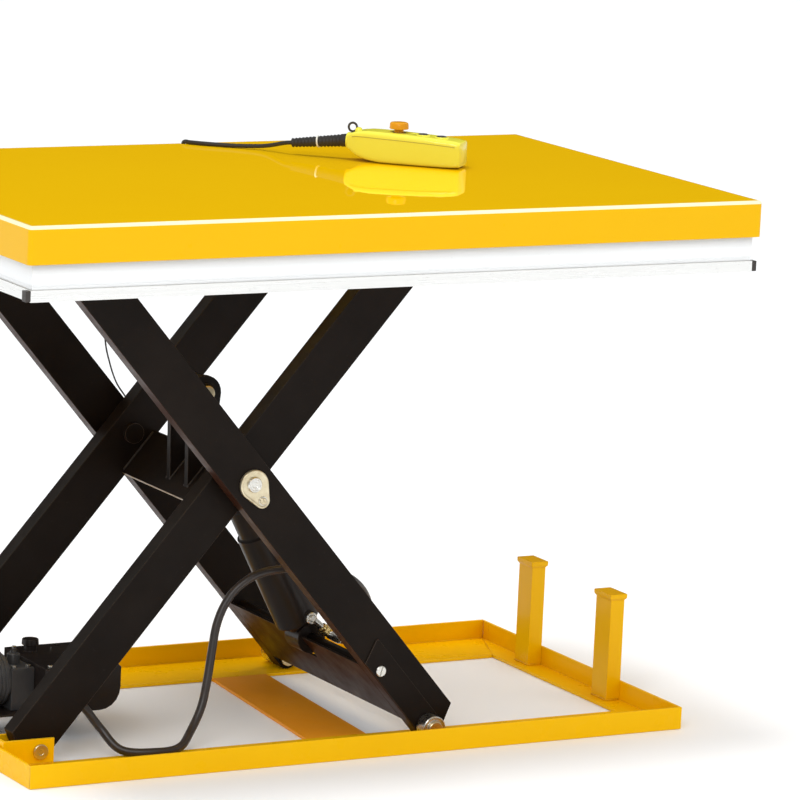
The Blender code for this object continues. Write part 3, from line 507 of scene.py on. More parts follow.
# --------------------------------------------------- centre pins and plates
def teardrop(cx, cz, r1, r2, dist, tip, n1=48, n2=20):
    beta = pi / 2 - atan2(r1 - r2, sqrt(dist ** 2 - (r1 - r2) ** 2))
    pts = []
    for k in range(n1 + 1):
        g = tip + beta + (2 * pi - 2 * beta) * k / n1
        pts.append((cx + r1 * cos(g), cz + r1 * sin(g)))
    for k in range(n2 + 1):
        g = tip - beta + 2 * beta * k / n2
        pts.append((cx + dist * cos(tip) + r2 * cos(g), cz + dist * sin(tip) + r2 * sin(g)))
    return pts


TIP = radians(-60)
for s, nm in ((-1, "front"), (1, "rear")):
    cx, cz = SX + 0.001, SZ - 0.001
    y0, y1 = OUTER_Y[1] + 0.0003, OUTER_Y[1] + 0.0060
    bm = bmesh.new()
    stack = []
    for t, d in ((y0, 0.0), (y1 - 0.0012, 0.0), (y1 - 0.0004, 0.0004), (y1, 0.0012), (y1, 0.0030), (y1 - 0.0006, 0.0038), (y1 - 0.0006, 0.0050)):
        stack.append([(x, s * t, z) for x, z in teardrop(cx, cz, 0.0245 - d, 0.0125 - d, 0.0300, TIP)])
    skin(bm, stack)
    rp = finish("keeper_plate_%s" % nm, bm, "plate_zinc", "outer_arms", "gold_zinc", angle=40)
    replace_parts(rp, "retaining_plate_%s" % nm)
    # screw with a washer and a slot
    tx, tz_ = cx + 0.030 * cos(TIP), cz + 0.030 * sin(TIP)
    lathe("keeper_washer_%s" % nm, [(y1 - 0.0005, 0.0074), (y1 + 0.0009, 0.0072)], (0, s, 0), (tx, 0, tz_), "zinc", "outer_arms", "zinc",
          seg=36, bevel=0.0002)
    sc = lathe("keeper_screw_%s" % nm, [(y1 + 0.0009, 0.0056), (y1 + 0.0032, 0.0056), (y1 + 0.0042, 0.0044)], (0, s, 0), (tx, 0, tz_),
               "plate_zinc", "outer_arms", "gold_zinc", seg=36, bevel=0.0003)
    cb = bmesh.new()
    m = frame_of((0, s, 0), (tx, 0, tz_)) @ Matrix.Rotation(radians(35), 4, "Z")
    skin(cb, [[m @ Vector((x, y, t)) for x, y in ((-0.008, -0.0007), (0.008, -0.0007), (0.008, 0.0007), (-0.008, 0.0007))]
              for t in (y1 + 0.0028, y1 + 0.006)])
    cutter(sc, cb, "slot_cutter_%s" % nm)
    cp = lathe("pin_centre_%s" % nm, [(0.1690, 0.0170), (0.1761, 0.0170), (0.1761, PIN_R), (0.2684, PIN_R), (0.2700, PIN_R - 0.0012),
                                      (0.2700, 0.0092), (0.2694, 0.0086), (0.2694, 0.0050), (0.2686, 0.0042), (0.2686, 0.0012)],
               (0, s, 0), (SX, 0, SZ), "zinc", "outer_arms", "zinc", bevel=0)
    cp.data.materials.append(MATS["arm_paint"])
    for p in cp.data.polygons:
        if abs(p.center.y) < 0.2000:
            p.material_index = 1
    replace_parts(cp, "centre_pin_%s" % nm)
    bs = lathe("bush_centre_%s" % nm, [(INNER_Y[1] + 0.0003, 0.0127), (OUTER_Y[0] - 0.0003, 0.0127), (OUTER_Y[0] - 0.0003, 0.0210),
                                       (INNER_Y[1] + 0.0003, 0.0210)], (0, s, 0), (SX, 0, SZ), "bronze", "outer_arms", "bronze",
               closed=True, bevel=0.0005)
    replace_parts(bs, "centre_bush_%s" % nm)
    # rollers: a crowned tread, a recessed face and the axle with its ring
    for kind, body, node, (px, pz), ya, arm_y in (
            ("low", "outer_arms", "lower", LOW_R, OUTER_Y[1] + 0.0036, OUTER_Y[0]),
            ("up", "inner_arms", "upper", UP_R, INNER_Y[1] + 0.0033, INNER_Y[0])):
        w = ROLLER_W
        rl = lathe("wheel_%s_%s" % (kind, nm), [(ya, 0.0102), (ya, 0.0135), (ya + 0.0012, 0.0142), (ya + 0.0012, 0.0168), (ya, 0.0176),
                                              (ya, 0.0190), (ya + 0.0016, ROLLER_R), (ya + w - 0.0016, ROLLER_R), (ya + w, 0.0190),
                                              (ya + w, 0.0176), (ya + w - 0.0012, 0.0168), (ya + w - 0.0012, 0.0142), (ya + w, 0.0135),
                                              (ya + w, 0.0102)], (0, s, 0), (px, 0, pz), "zinc",
                   "roller_%s_%s" % (kind, nm), "zinc", closed=True, bevel=0.0003)
        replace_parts(rl, "%s_roller_%s" % (node, nm))
        ye = ya + w + 0.0004
        ax = lathe("axle_%s_%s" % (kind, nm), [(arm_y - 0.0055, 0.0140), (arm_y - 0.0003, 0.0140), (arm_y - 0.0003, 0.0099), (ye, 0.0099),
                                             (ye, 0.0125), (ye + 0.0030, 0.0125), (ye + 0.0042, 0.0112), (ye + 0.0042, 0.0060),
                                             (ye + 0.0036, 0.0052)], (0, s, 0), (px, 0, pz), "gold_zinc", body, "gold_zinc", bevel=0.0003)
        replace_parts(ax, "%s_roller_axle_%s" % (node, nm))

    # fixed pivots
    for nd, body, (px, pz), y in (("base_pivot_pin", "base", LOW_L, 0.1627), ("deck_pivot_pin", "platform", UP_L, 0.2148)):
        pn = lathe("%s_%s_turned" % (nd, nm), [(y, 0.0113), (y + 0.0012, 0.0125), (y + 0.0045, 0.0125), (y + 0.0045, 0.0099),
                                              (y + 0.0541, 0.0099), (y + 0.0541, 0.0125), (y + 0.0574, 0.0125), (y + 0.0586, 0.0113),
                                              (y + 0.0586, 0.0050), (y + 0.0578, 0.0042)], (0, s, 0), (px, 0, pz), "gold_zinc", body,
                   "zinc", bevel=0.0003)
        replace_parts(pn, "%s_%s" % (nd, nm))

# ----------------------------------------------------- cylinder and shaft
sh = lathe("shaft_turned", [(-0.2668, 0.0080), (-0.2660, 0.0090), (-0.2606, 0.0090), (0.2606, 0.0090), (0.2660, 0.0090), (0.2668, 0.0080)],
           (0, 1, 0), (PA[0], 0, PA[1]), "zinc", "outer_arms", "zinc", bevel=0.0003)
sh.data.materials.append(MATS["arm_paint"])
for p in sh.data.polygons:
    if abs(p.center.y) < 0.2600:
        p.material_index = 1
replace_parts(sh, "cylinder_shaft")
cb = bmesh.new()
for s in (-1, 1):
    m = frame_of((0, s, 0), (PA[0], 0, PA[1])) @ Matrix.Rotation(radians(18 * s), 4, "Z")
    skin(cb, [[m @ Vector((x, y, t)) for x, y in ((-0.012, -0.0010), (0.012, -0.0010), (0.012, 0.0010), (-0.012, 0.0010))]
              for t in (0.2648, 0.2690)])
cutter(sh, cb, "shaft_slot_cutter")

c = (PA[0], 0, PA[1])
rr = ROD_R + 0.0004
bl = lathe("barrel_tube", [(0.0405, 0.004), (0.0405, rr), (0.2615, rr), (0.2620, rr + 0.001), (0.2620, 0.0290), (0.2600, 0.0310),
                           (0.2570, 0.0330), (0.2085, 0.0330), (0.2065, 0.0345), (0.2050, BARREL_R), (0.0340, BARREL_R), (0.0315, 0.0360),
                           (0.0290, 0.0230), (0.0180, 0.0200)], CYL_DIR, c, "tank_paint", "cylinder_body", "black_paint", bevel=0.0006)
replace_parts(bl, "cylinder_barrel")
lathe("barrel_eye", [(-EYE_HY, 0.0093), (EYE_HY, 0.0093), (EYE_HY, EYE_R), (-EYE_HY, EYE_R)], (0, 1, 0), c, "tank_paint", "cylinder_body",
      "black_paint", closed=True, bevel=0.0008)
lathe("barrel_weld", [(0.0300, 0.0215), (0.0275, 0.0262), (0.0290, 0.0290), (0.0320, 0.0284), (0.0330, 0.0225)], CYL_DIR, c, "weld_black",
      "cylinder_body", "black_paint", closed=True, bevel=0)
lathe("gland_wiper", [(0.2622, rr + 0.0003), (0.2622, 0.0265), (0.2636, 0.0260), (0.2646, 0.0225), (0.2636, rr + 0.0003)], CYL_DIR, c,
      "black_plastic", "cylinder_body", "black_plastic", closed=True, bevel=0)
rd = lathe("rod_bar", [(0.1880, ROD_R - 0.001), (0.1890, ROD_R), (CYL_LEN - 0.0300, ROD_R), (CYL_LEN - 0.0280, 0.0185), (CYL_LEN - 0.0140, 0.0185)],
           CYL_DIR, c, "chrome", "cylinder_rod_body", "chrome", bevel=0.0004)
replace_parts(rd, "cylinder_rod")
cB = (PB[0], 0, PB[1])
lathe("rod_eye", [(-EYE_HY, PIN_R + 0.0002), (EYE_HY, PIN_R + 0.0002), (EYE_HY, EYE_R), (-EYE_HY, EYE_R)], (0, 1, 0), cB, "tank_paint",
      "cylinder_rod_body", "chrome", closed=True, bevel=0.0008)
rp = lathe("eye_pin", [(-0.0255, 0.0117), (-0.0247, PIN_R), (0.0247, PIN_R), (0.0255, 0.0117)], (0, 1, 0), cB, "zinc", "cylinder_rod_body",
           "zinc", bevel=0)
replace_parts(rp, "rod_pin")
# keeper discs on the outside of each lug
for t in (-1, 1):
    lathe("lug_pin_end_%s" % ("front" if t < 0 else "rear"), [(-0.0010, 0.0136), (0.0014, 0.0136), (0.0026, 0.0122), (0.0026, 0.0050),
                                                              (0.0018, 0.0042)], (0, t, 0), (PB[0], t * 0.0445, PB[1]), "gold_zinc",
          "inner_arms", "gold_zinc", bevel=0)

# ------------------------------------------------------------ hose and pump
HOSE = [(-0.2620, -0.0900, 0.0980), (-0.2700, -0.1300, 0.1000), (-0.2420, -0.1650, 0.0830), (-0.2140, -0.1800, 0.0460),
        (-0.1900, -0.2120, 0.0150), (-0.1350, -0.2330, 0.0123), (-0.0930, -0.2240, 0.0145), (-0.0600, -0.1930, 0.0290),
        (-0.0330, -0.1760, 0.0640), (-0.0190, -0.1660, 0.1060), (-0.0080, -0.1560, 0.1480), (0.0030, -0.1480, 0.1900),
        (0.0200, -0.1430, 0.2230), (0.0420, -0.1420, 0.2480), (0.0720, -0.1440, 0.2660), (0.1080, -0.1480, 0.2740),
        (0.1650, -0.1500, 0.2740), (0.2200, -0.1470, 0.2620), (0.2650, -0.1350, 0.2360), (0.2960, -0.1150, 0.2000),
        (0.3080, -0.0900, 0.1620), (0.3000, -0.0680, 0.1310), (0.2840, -0.0540, 0.1240), (0.2654, -0.0480, 0.1340)]
hose = tube("hose_line", curve([(SX + x, y, z) for x, y, z in HOSE], 8), 0.0069, "hose_rubber", "base", "rubber", seg=24)
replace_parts(hose, "hydraulic_hose")
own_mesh(hose)
# port boss on the barrel, ring bolt, nut and the crimped ferrule of the hose
end = Vector((SX + HOSE[-1][0], HOSE[-1][1], HOSE[-1][2]))
run = Vector([HOSE[-2][i] - HOSE[-1][i] for i in range(3)]).normalized()
port = Vector((0.0467, 0, 0.1611))
lathe("port_boss", [(0.0300, 0.0125), (0.0385, 0.0125), (0.0398, 0.0112)], (0, -1, 0), port, "tank_paint", "cylinder_body", "black_paint",
      seg=40, bevel=0.0006)
lathe("port_ring", [(0.0398, 0.0100), (0.0436, 0.0100), (0.0446, 0.0090), (0.0446, 0.0068), (0.0440, 0.0060)], (0, -1, 0), port, "zinc",
      "cylinder_body", "zinc", seg=40, bevel=0.0003)
lathe("port_bolt", [(0.0440, 0.0058), (0.0468, 0.0058), (0.0474, 0.0050)], (0, -1, 0), port, "zinc", "cylinder_body", "zinc", seg=6, bevel=0.0004)
ax_d = Vector((0.7735, 0, -0.6337)).normalized()
nut = Vector((0.0738, -0.0430, 0.1389))
start = Vector((0.0467, -0.0418, 0.1611))
tube("port_arm", curve([start + ax_d * 0.0060, start.lerp(nut, 0.5), nut], 5), 0.0058, "zinc", "cylinder_body", "zinc", seg=20)
lathe("port_nut", [(-0.0055, 0.0098), (0.0055, 0.0098)], ax_d, nut, "brass", "cylinder_body", "bronze", seg=6, bevel=0.0009)
lathe("port_collar", [(-0.0105, 0.0080), (-0.0055, 0.0080)], ax_d, nut, "brass", "cylinder_body", "bronze", seg=32, bevel=0.0006)
tube("hose_ferrule", [end + run * 0.0210, end + run * 0.0180, end + run * 0.0080, end - run * 0.0010, end - run * 0.0035],
     lambda u: (0.0076, 0.0092, 0.0092, 0.0092, 0.0080)[int(round(u * 4))], "zinc", "cylinder_body", "zinc", seg=28)

# power pack: motor with cooling ribs, bolts, valve coil and tank screws
mz, mx = 0.0920, SX - 0.3050
prof = [(-0.0950, 0.0300), (-0.0935, 0.0370), (-0.0900, 0.0420), (-0.0860, 0.0446)]
for k in range(11):
    x = -0.0830 + 0.0066 * k
    prof += [(x, 0.0449), (x + 0.0034, 0.0449), (x + 0.0036, 0.0432), (x + 0.0064, 0.0432)]
prof += [(-0.0100, 0.0449), (-0.0060, 0.0449), (-0.0060, 0.0400), (-0.0005, 0.0400)]
mo = lathe("motor_ribbed", prof, (1, 0, 0), (mx, 0, mz), "motor_paint", "base", "motor_grey", seg=72, bevel=0)
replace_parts(mo, "pump_motor")
bmb = bmesh.new()
for k in range(4):
    g = radians(45 + 90 * k)
    lathe("", [(-0.0956, 0.0034), (-0.0925, 0.0034)], (1, 0, 0), (mx, 0.0250 * cos(g), mz + 0.0250 * sin(g)), None, None, None, seg=6, bm=bmb)
finish("motor_bolts", bmb, "zinc", "base", "zinc", bevel=0.0004)
bmb = bmesh.new()
for sx_ in (-1, 1):
    for sy_ in (-1, 1):
        lathe("", [(0.1150, 0.0050), (0.1185, 0.0050)], (0, 0, 1), (SX - 0.28515 + 0.0130 * sx_, 0.030 * sy_, 0), None, None, None, seg=6, bm=bmb)
finish("valve_bolts", bmb, "zinc", "base", "zinc", bevel=0.0004)
lathe("valve_coil", [(0.1151, 0.0105), (0.1300, 0.0105), (0.1320, 0.0090), (0.1320, 0.0052), (0.1360, 0.0052)], (0, 0, 1), (SX - 0.28515, 0, 0),
      "button_dark", "base", "button_dark", seg=40, bevel=0.0005)
lathe("tank_seam", [(-0.0012, 0.0010), (0.0012, 0.0010)], (0, 0, 1), (SX - 0.1980, 0.045, 0.1228), "zinc", "base", "zinc", seg=24, bevel=0.0003)
bmb = bmesh.new()
for y in (-0.0700, 0.0700):
    for x in (SX - 0.2520, SX - 0.1450):
        lathe("", [(0.1214, 0.0042), (0.1240, 0.0042), (0.1246, 0.0034)], (0, 0, 1), (x, y, 0), None, None, None, seg=20, bm=bmb)
finish("tank_screws", bmb, "zinc", "base", "zinc", bevel=0.0003)

# -------------------------------------------------------------------- welds
bm = bmesh.new()
for py, hh in ((-0.120, 0.0242), (0.1415, 0.0225)):
    px, hx_, z = SX + 0.7582, 0.0130, RAIL_T + 0.0012
    bead(bm, (px - hx_, py - hh, z), (px - hx_, py + hh, z))
    bead(bm, (px - hx_, py - hh, z), (px + hx_ - 0.002, py - hh, z))
    bead(bm, (px - hx_, py + hh, z), (px + hx_ - 0.002, py + hh, z))
for s in (-1, 1):
    for y in (0.1675, 0.2165):
        bead(bm, (LOW_L[0] - 0.062, s * y, RAIL_T + 0.001), (LOW_L[0] + 0.022, s * y, RAIL_T + 0.001), r=0.0020)
    # mitred rail corners, short runs on the flange
    bead(bm, (BX1 - 0.006, s * (BASE_Y - 0.012), RAIL_T + 0.0002), (BX1 - 0.034, s * (BASE_Y - 0.083), RAIL_T + 0.0002), r=0.0014)
    bead(bm, (BX0 + 0.006, s * (BASE_Y - 0.012), RAIL_T + 0.0002), (BX0 + 0.030, s * (BASE_Y - 0.083), RAIL_T + 0.0002), r=0.0014)
finish("base_welds", bm, "weld_paint", "base", "yellow_paint", angle=60)
bm = bmesh.new()
for s in (-1, 1):
    y = s * (INNER_Y[0] - 0.0008)
    for a0, a1, cc in ((-0.056, 0.024, 0.0286),):
        p, q = inner(a0, cc), inner(a1, cc)
        bead(bm, (p[0], y, p[1]), (q[0], y, q[1]), r=0.0024)
for t in (-1, 1):
    for f in (-0.0064, 0.0064):
        p, q = inner(-0.040, 0.0286), inner(0.022, 0.0286)
        bead(bm, (p[0], t * 0.0325 + f, p[1]), (q[0], t * 0.0325 + f, q[1]), r=0.0020)
finish("torque_welds", bm, "weld_black", "inner_arms", "black_paint", angle=60)
bm = bmesh.new()
for s in (-1, 1):
    y = s * (OUTER_Y[0] - 0.0008)
    p, q = outer(0.390, -0.0330), outer(0.507, -0.0330)
    bead(bm, (p[0], y, p[1]), (q[0], y, q[1]), r=0.0022)
finish("tie_welds", bm, "weld_black", "outer_arms", "black_paint", angle=60)

# ------------------------------------------------------------------ pendant
PC = Vector((SX + 0.4480, 0.1000, DECK_TOP + 0.0004))
PD = radians(-44.5)
pu, pv = Vector((cos(PD), sin(PD), 0)), Vector((-sin(PD), cos(PD), 0))
HALF = 0.099
STATIONS = [(0.000, 0.0130, 0.0200, 0.0420), (0.008, 0.0180, 0.0150, 0.0460), (0.020, 0.0240, 0.0080, 0.0500),
            (0.038, 0.0285, 0.0030, 0.0520), (0.060, 0.0300, 0.0000, 0.0520), (0.100, 0.0300, 0.0000, 0.0510),
            (0.145, 0.0295, 0.0000, 0.0490), (0.175, 0.0280, 0.0005, 0.0470), (0.190, 0.0272, 0.0010, 0.0455),
            (0.198, 0.0245, 0.0030, 0.0430)]


def station(t):
    for a, b in zip(STATIONS[:-1], STATIONS[1:]):
        if t <= b[0] + 1e-9:
            f = (t - a[0]) / (b[0] - a[0])
            return [a[i] + (b[i] - a[i]) * f for i in range(1, 4)]
    return list(STATIONS[-1][1:])


def super_ring(t, w, z0, z1, n=64, ex=0.29, groove=0.0):
    ring = []
    for k in range(n):
        a = 2 * pi * k / n
        ca, sa = cos(a), sin(a)
        yy = w * (abs(ca) ** ex) * (1 if ca >= 0 else -1)
        zz = (z0 + z1) / 2 + (z1 - z0) / 2 * (abs(sa) ** ex) * (1 if sa >= 0 else -1)
        ring.append(PC + pu * (t - HALF) + pv * yy + Vector((0, 0, zz)))
    return ring


ts = [0.0, 0.0012, 0.003, 0.0055, 0.008, 0.011, 0.015, 0.020, 0.026, 0.032, 0.038, 0.046, 0.053, 0.060, 0.080, 0.100, 0.1225, 0.145, 0.160,
      0.175, 0.181, 0.186, 0.190, 0.1935, 0.196, 0.1974, 0.198]
sm = []
for t in ts:
    acc = [0.0, 0.0, 0.0]
    for d in (-0.005, -0.0025, 0.0, 0.0025, 0.005):
        v = station(min(max(t + d, 0.0), 0.198))
        acc = [acc[i] + v[i] / 5 for i in range(3)]
    if t < 0.003 or t > 0.196:
        k = (0.003 - t) / 0.003 if t < 0.003 else (t - 0.196) / 0.002
        q = 0.0014 * (1 - sqrt(max(0.0, 1 - k * k)))
        acc = [acc[0] - q, acc[1] + q, acc[2] - q]
    sm.append((t, *acc))
bm = bmesh.new()
skin(bm, [super_ring(*v) for v in sm])
case = finish("pendant_body", bm, "pendant_yellow", "platform", "pendant_yellow", angle=50)
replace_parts(case, "pendant_case")
case.data.materials.append(MATS["pendant_line"])
for nm, t, ztop, r in (("up", 0.128, 0.0495, 0.0085), ("down", 0.160, 0.0480, 0.0085)):
    c = PC + pu * (t - HALF)
    cb = bmesh.new()
    lathe("", [(ztop - 0.0120, r + 0.0004), (ztop + 0.02, r + 0.0004)], (0, 0, 1), c, None, None, None, seg=48, bm=cb)
    cutter(case, cb, "pocket_%s" % nm)
    bt = lathe("button_%s_cap" % nm, [(ztop - 0.0070, r), (ztop + 0.0012, r), (ztop + 0.0021, r - 0.0006), (ztop + 0.0026, r - 0.0018),
                                     (ztop + 0.0026, r - 0.0040), (ztop + 0.0022, r - 0.0048)], (0, 0, 1), c, "button_dark",
               "%s_button_body" % nm, "button_dark", seg=48, bevel=0)
    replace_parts(bt, "%s_button" % nm)
    lathe("button_%s_bezel" % nm, [(ztop - 0.0006, r + 0.0008), (ztop + 0.0014, r + 0.0008), (ztop + 0.0014, r + 0.0024), (ztop - 0.0010, r + 0.0034)],
          (0, 0, 1), c, "pendant_yellow", "platform", "pendant_yellow", seg=48, closed=True, bevel=0.0003)
c = PC + pu * (0.086 - HALF)
cb = bmesh.new()
lathe("", [(0.0360, 0.0084), (0.09, 0.0084)], (0, 0, 1), c, None, None, None, seg=48, bm=cb)
cutter(case, cb, "pocket_stop")
st = lathe("stop_cap", [(0.0420, 0.0080), (0.0560, 0.0080), (0.0570, 0.0152), (0.0578, 0.0161), (0.0650, 0.0156), (0.0670, 0.0147),
                        (0.0679, 0.0130), (0.0680, 0.0060)], (0, 0, 1), c, "stop_orange",
           "stop_button_body", "stop_red", seg=56, bevel=0)
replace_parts(st, "stop_button")
lathe("stop_bezel", [(0.0502, 0.0090), (0.0517, 0.0090), (0.0517, 0.0112), (0.0500, 0.0128)], (0, 0, 1), c, "button_dark", "platform",
      "button_dark", seg=48, closed=True, bevel=0.0004)

# parting rim along the shoulder of the case and the hanging eye at the cable end
for s, nm in ((-1, "a"), (1, "b")):
    rim = []
    for t, w, z0, z1 in sm:
        if 0.010 <= t <= 0.190:
            rim.append(PC + pu * (t - HALF) + pv * (s * (w * 0.985)) + Vector((0, 0, z0 + (z1 - z0) * 0.80)))
    tube("case_seam_%s" % nm, rim, 0.0008, "pendant_line", "platform", "pendant_yellow", seg=8)
eye_c = PC + pu * (-0.0935) + Vector((0, 0, 0.0535)) + pv * 0.0020
ring = [eye_c + pu * (0.0088 * cos(2 * pi * k / 40)) + Vector((0, 0, 0.0078 * sin(2 * pi * k / 40))) for k in range(41)]
bm = bmesh.new()
vs = []
for k in range(40):
    g = 2 * pi * k / 40
    rad = pu * cos(g) + Vector((0, 0, 1)) * sin(g)
    vs.append([eye_c + rad * (0.0072 + 0.0019 * cos(2 * pi * j / 12)) + pv * (0.0019 * sin(2 * pi * j / 12)) for j in range(12)])
skin(bm, vs, closed=True)
finish("hang_eye", bm, "black_plastic", "platform", "black_plastic", angle=60)
lathe("eye_boss", [(0.0455, 0.0066), (0.0500, 0.0062), (0.0530, 0.0046), (0.0540, 0.0024)], (0, 0, 1), PC + pu * (0.0160 - HALF) + pv * 0.002,
      "pendant_yellow", "platform", "pendant_yellow", seg=32, bevel=0.0004)
lathe("neck_collar", [(-0.0030, 0.0128), (-0.0016, 0.0138), (0.0030, 0.0138), (0.0045, 0.0126)], pu, PC - pu * (HALF - 0.0005) + Vector((0, 0, 0.031)),
      "pendant_yellow", "platform", "pendant_yellow", seg=40, bevel=0.0004)

# moulded boot with ribs and a clamp ring, then the cable over the deck and down the notch
p0 = PC - pu * (HALF + 0.0022) + Vector((0, 0, 0.031))
zc = DECK_TOP + 0.0039
boot_end = PC - pu * (HALF + 0.100) + Vector((0, 0, 0.0190))
NR = 160
path = [p0.lerp(boot_end, k / NR) for k in range(NR + 1)]


def boot_r(u):
    base = 0.0110 - 0.0034 * u
    rib = 0.5 - 0.5 * cos(2 * pi * u * 16)
    return base - (0.0011 * (1 - rib) if u > 0.10 else 0.0) - (0.003 * (u - 0.98) / 0.02 if u > 0.98 else 0.0)


boot = tube("lead_boot", path, boot_r, "rubber", "platform", "rubber", seg=40)
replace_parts(boot, "pendant_lead")
lathe("boot_clamp", [(-0.0014, 0.0094), (-0.0010, 0.0104), (0.0010, 0.0104), (0.0014, 0.0094)], (boot_end - p0).normalized(), p0.lerp(boot_end, 0.52),
      "white_ring", "platform", "zinc", seg=48, bevel=0.0003)
way = [boot_end - (boot_end - p0) * 0.03, boot_end + (boot_end - p0) * 0.12, Vector((SX + 0.2830, 0.2880, zc + 0.0040)),
       Vector((SX + 0.2500, 0.3190, zc + 0.0005)), Vector((SX + 0.2150, 0.3480, zc)), Vector((SX + 0.1880, 0.3760, zc)),
       Vector((SX + 0.1822, 0.3900, zc - 0.0005)), Vector((SX + 0.1820, 0.3957, zc - 0.0080)), Vector((SX + 0.1820, 0.3957, 0.8650)),
       Vector((SX + 0.1820, 0.3957, 0.8360))]
tube("lead_cable", curve(way, 10), 0.0035, "rubber", "platform", "rubber", seg=18)

# thin switch cable that hangs from the platform
CAB = [(-0.3850, -0.100, 0.7900), (-0.3790, -0.100, 0.7300), (-0.3752, -0.100, 0.6578), (-0.3660, -0.100, 0.6190), (-0.3530, -0.100, 0.5860),
       (-0.3360, -0.100, 0.5620)]
cab = tube("switch_cable", curve(CAB, 8), 0.0014, "rubber", "platform", "rubber", seg=10)
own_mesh(cab)

# ------------------------------------------------------------ floor, light
bm = bmesh.new()
n = 40.0
skin_v = [bm.verts.new(p) for p in ((-n, -n, 0), (n, -n, 0), (n, n, 0), (-n, n, 0))]
bm.faces.new(skin_v)
me = bpy.data.meshes.new("floor")
bm.to_mesh(me)
bm.free()
floor = bpy.data.objects.new("floor", me)
floor.location.z = -0.0005
coll.objects.link(floor)
fm = bpy.data.materials.new("floor_paper")
fm.use_nodes = True
fb = fm.node_tree.nodes["Principled BSDF"]
fn = fm.node_tree.nodes.new("ShaderNodeTexNoise")
fn.inputs["Scale"].default_value = 1.5
fr = fm.node_tree.nodes.new("ShaderNodeMapRange")
fr.inputs["To Min"].default_value, fr.inputs["To Max"].default_value = 0.955, 0.975
fm.node_tree.links.new(fn.outputs["Fac"], fr.inputs["Value"])
fx = fm.node_tree.nodes.new("ShaderNodeMix")
fx.data_type, fx.blend_type = "RGBA", "MULTIPLY"
fx.inputs["Factor"].default_value = 1.0
fx.inputs["B"].default_value = (0.970, 0.985, 1.0, 1)
fm.node_tree.links.new(fr.outputs["Result"], fx.inputs["A"])
fm.node_tree.links.new(fx.outputs["Result"], fb.inputs["Base Color"])
fb.inputs["Roughness"].default_value = 0.75
fb.inputs["Specular IOR Level"].default_value = 0.2
me.materials.append(fm)
floor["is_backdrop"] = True

w = scene.world or bpy.data.worlds.new("studio")
scene.world = w
w.use_nodes = True
nt = w.node_tree
nt.nodes.clear()
out = nt.nodes.new("ShaderNodeOutputWorld")
lp = nt.nodes.new("ShaderNodeLightPath")
bg, bgg, mixs = nt.nodes.new("ShaderNodeBackground"), nt.nodes.new("ShaderNodeBackground"), nt.nodes.new("ShaderNodeMixShader")
bg.inputs["Color"].default_value, bg.inputs["Strength"].default_value = (1.0, 1.0, 1.0, 1), 0.76
bgg.inputs["Color"].default_value, bgg.inputs["Strength"].default_value = (1.0, 0.98, 0.94, 1), 0.45
# reflections stay dark just ahead of the lens, low over the deck, and bright elsewhere
ahead = Vector((sin(radians(29.101)) * cos(radians(10.462)), cos(radians(29.101)) * cos(radians(10.462)), sin(radians(10.462))))
wtc, wdp, wmr = nt.nodes.new("ShaderNodeTexCoord"), nt.nodes.new("ShaderNodeVectorMath"), nt.nodes.new("ShaderNodeMapRange")
wdp.operation = "DOT_PRODUCT"
wdp.inputs[1].default_value = ahead
nt.links.new(wtc.outputs["Generated"], wdp.inputs[0])
wmr.inputs["From Min"].default_value, wmr.inputs["From Max"].default_value = 0.90, 0.975
wmr.inputs["To Min"].default_value, wmr.inputs["To Max"].default_value = 0.45, 0.01
nt.links.new(wdp.outputs["Value"], wmr.inputs["Value"])
nt.links.new(wmr.outputs["Result"], bgg.inputs["Strength"])
nt.links.new(lp.outputs["Is Glossy Ray"], mixs.inputs["Fac"])
nt.links.new(bg.outputs["Background"], mixs.inputs[1])
nt.links.new(bgg.outputs["Background"], mixs.inputs[2])
bgc, mixc = nt.nodes.new("ShaderNodeBackground"), nt.nodes.new("ShaderNodeMixShader")
bgc.inputs["Color"].default_value, bgc.inputs["Strength"].default_value = (1.0, 1.0, 1.0, 1), 1.05
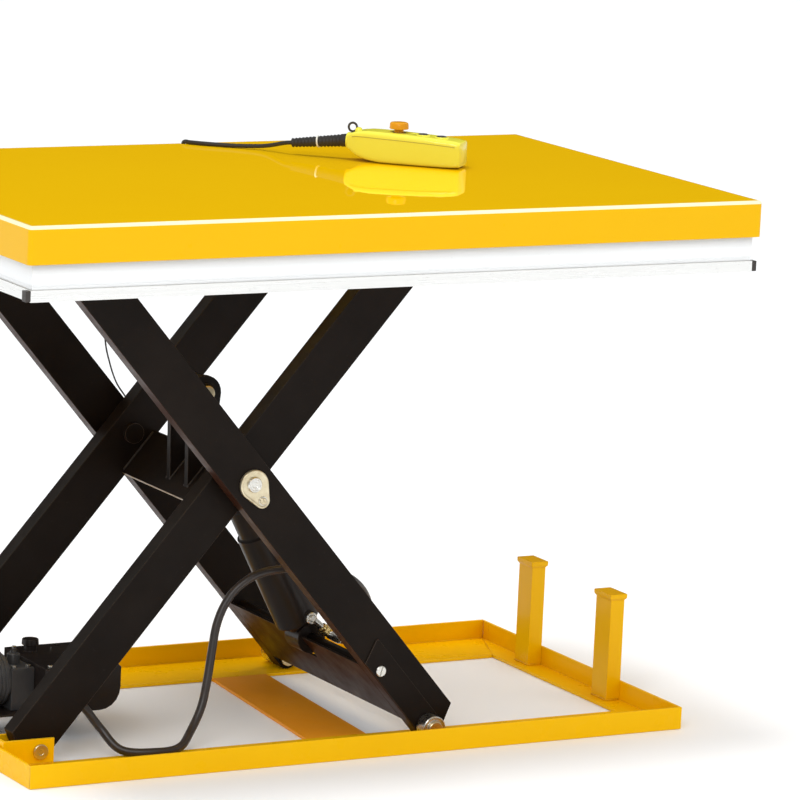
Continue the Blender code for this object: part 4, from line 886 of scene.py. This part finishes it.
nt.links.new(lp.outputs["Is Camera Ray"], mixc.inputs["Fac"])
nt.links.new(mixs.outputs["Shader"], mixc.inputs[1])
nt.links.new(bgc.outputs["Background"], mixc.inputs[2])
nt.links.new(mixc.outputs["Shader"], out.inputs["Surface"])


def area(name, loc, target, size, energy, color=(1, 1, 1)):
    d = bpy.data.lights.new(name, "AREA")
    d.shape, d.size, d.size_y, d.energy, d.color = "RECTANGLE", size[0], size[1], energy, color
    o = bpy.data.objects.new(name, d)
    coll.objects.link(o)
    o.location = loc
    o.rotation_euler = (Vector(target) - Vector(loc)).to_track_quat("-Z", "Y").to_euler()
    return o


area("key", (-2.6, -3.4, 3.6), (0, 0, 0.5), (2.6, 2.0), 75)
area("fill", (3.4, -2.6, 2.0), (0, 0, 0.5), (2.4, 2.4), 20).visible_glossy = False
area("top", (0.2, 0.6, 3.4), (0, 0, 0.6), (3.0, 2.0), 20).visible_glossy = False
sun = bpy.data.objects.new("overhead", bpy.data.lights.new("overhead", "SUN"))
sun.data.energy, sun.data.angle = 1.15, radians(16)
sun.rotation_euler = Vector((0.15, -0.13, -1.0)).to_track_quat("-Z", "Y").to_euler()
sun.visible_glossy = False
coll.objects.link(sun)

# ------------------------------------------------------------------ camera
cam = bpy.data.objects.new("camera", bpy.data.cameras.new("camera"))
coll.objects.link(cam)
cam.data.lens, cam.data.sensor_width = 228.8, 36.0
cam.data.clip_start, cam.data.clip_end = 0.1, 200
rz, rx, ry = radians(-29.101), radians(10.462), radians(2.602)
fwd = Vector((-sin(rz) * cos(rx), cos(rz) * cos(rx), -sin(rx)))
r0 = Vector((cos(rz), sin(rz), 0))
u0 = r0.cross(fwd)
right = cos(ry) * r0 + sin(ry) * u0
up = -sin(ry) * r0 + cos(ry) * u0
mw = Matrix((right, up, -fwd)).transposed().to_4x4()
mw.translation = Vector((-3.8092, -7.2347, 2.0394))
cam.matrix_world = mw
scene.camera = cam
scene.view_settings.view_transform = "Standard"
scene.view_settings.look = "None"

bpy.context.view_layer.update()
lo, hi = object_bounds()
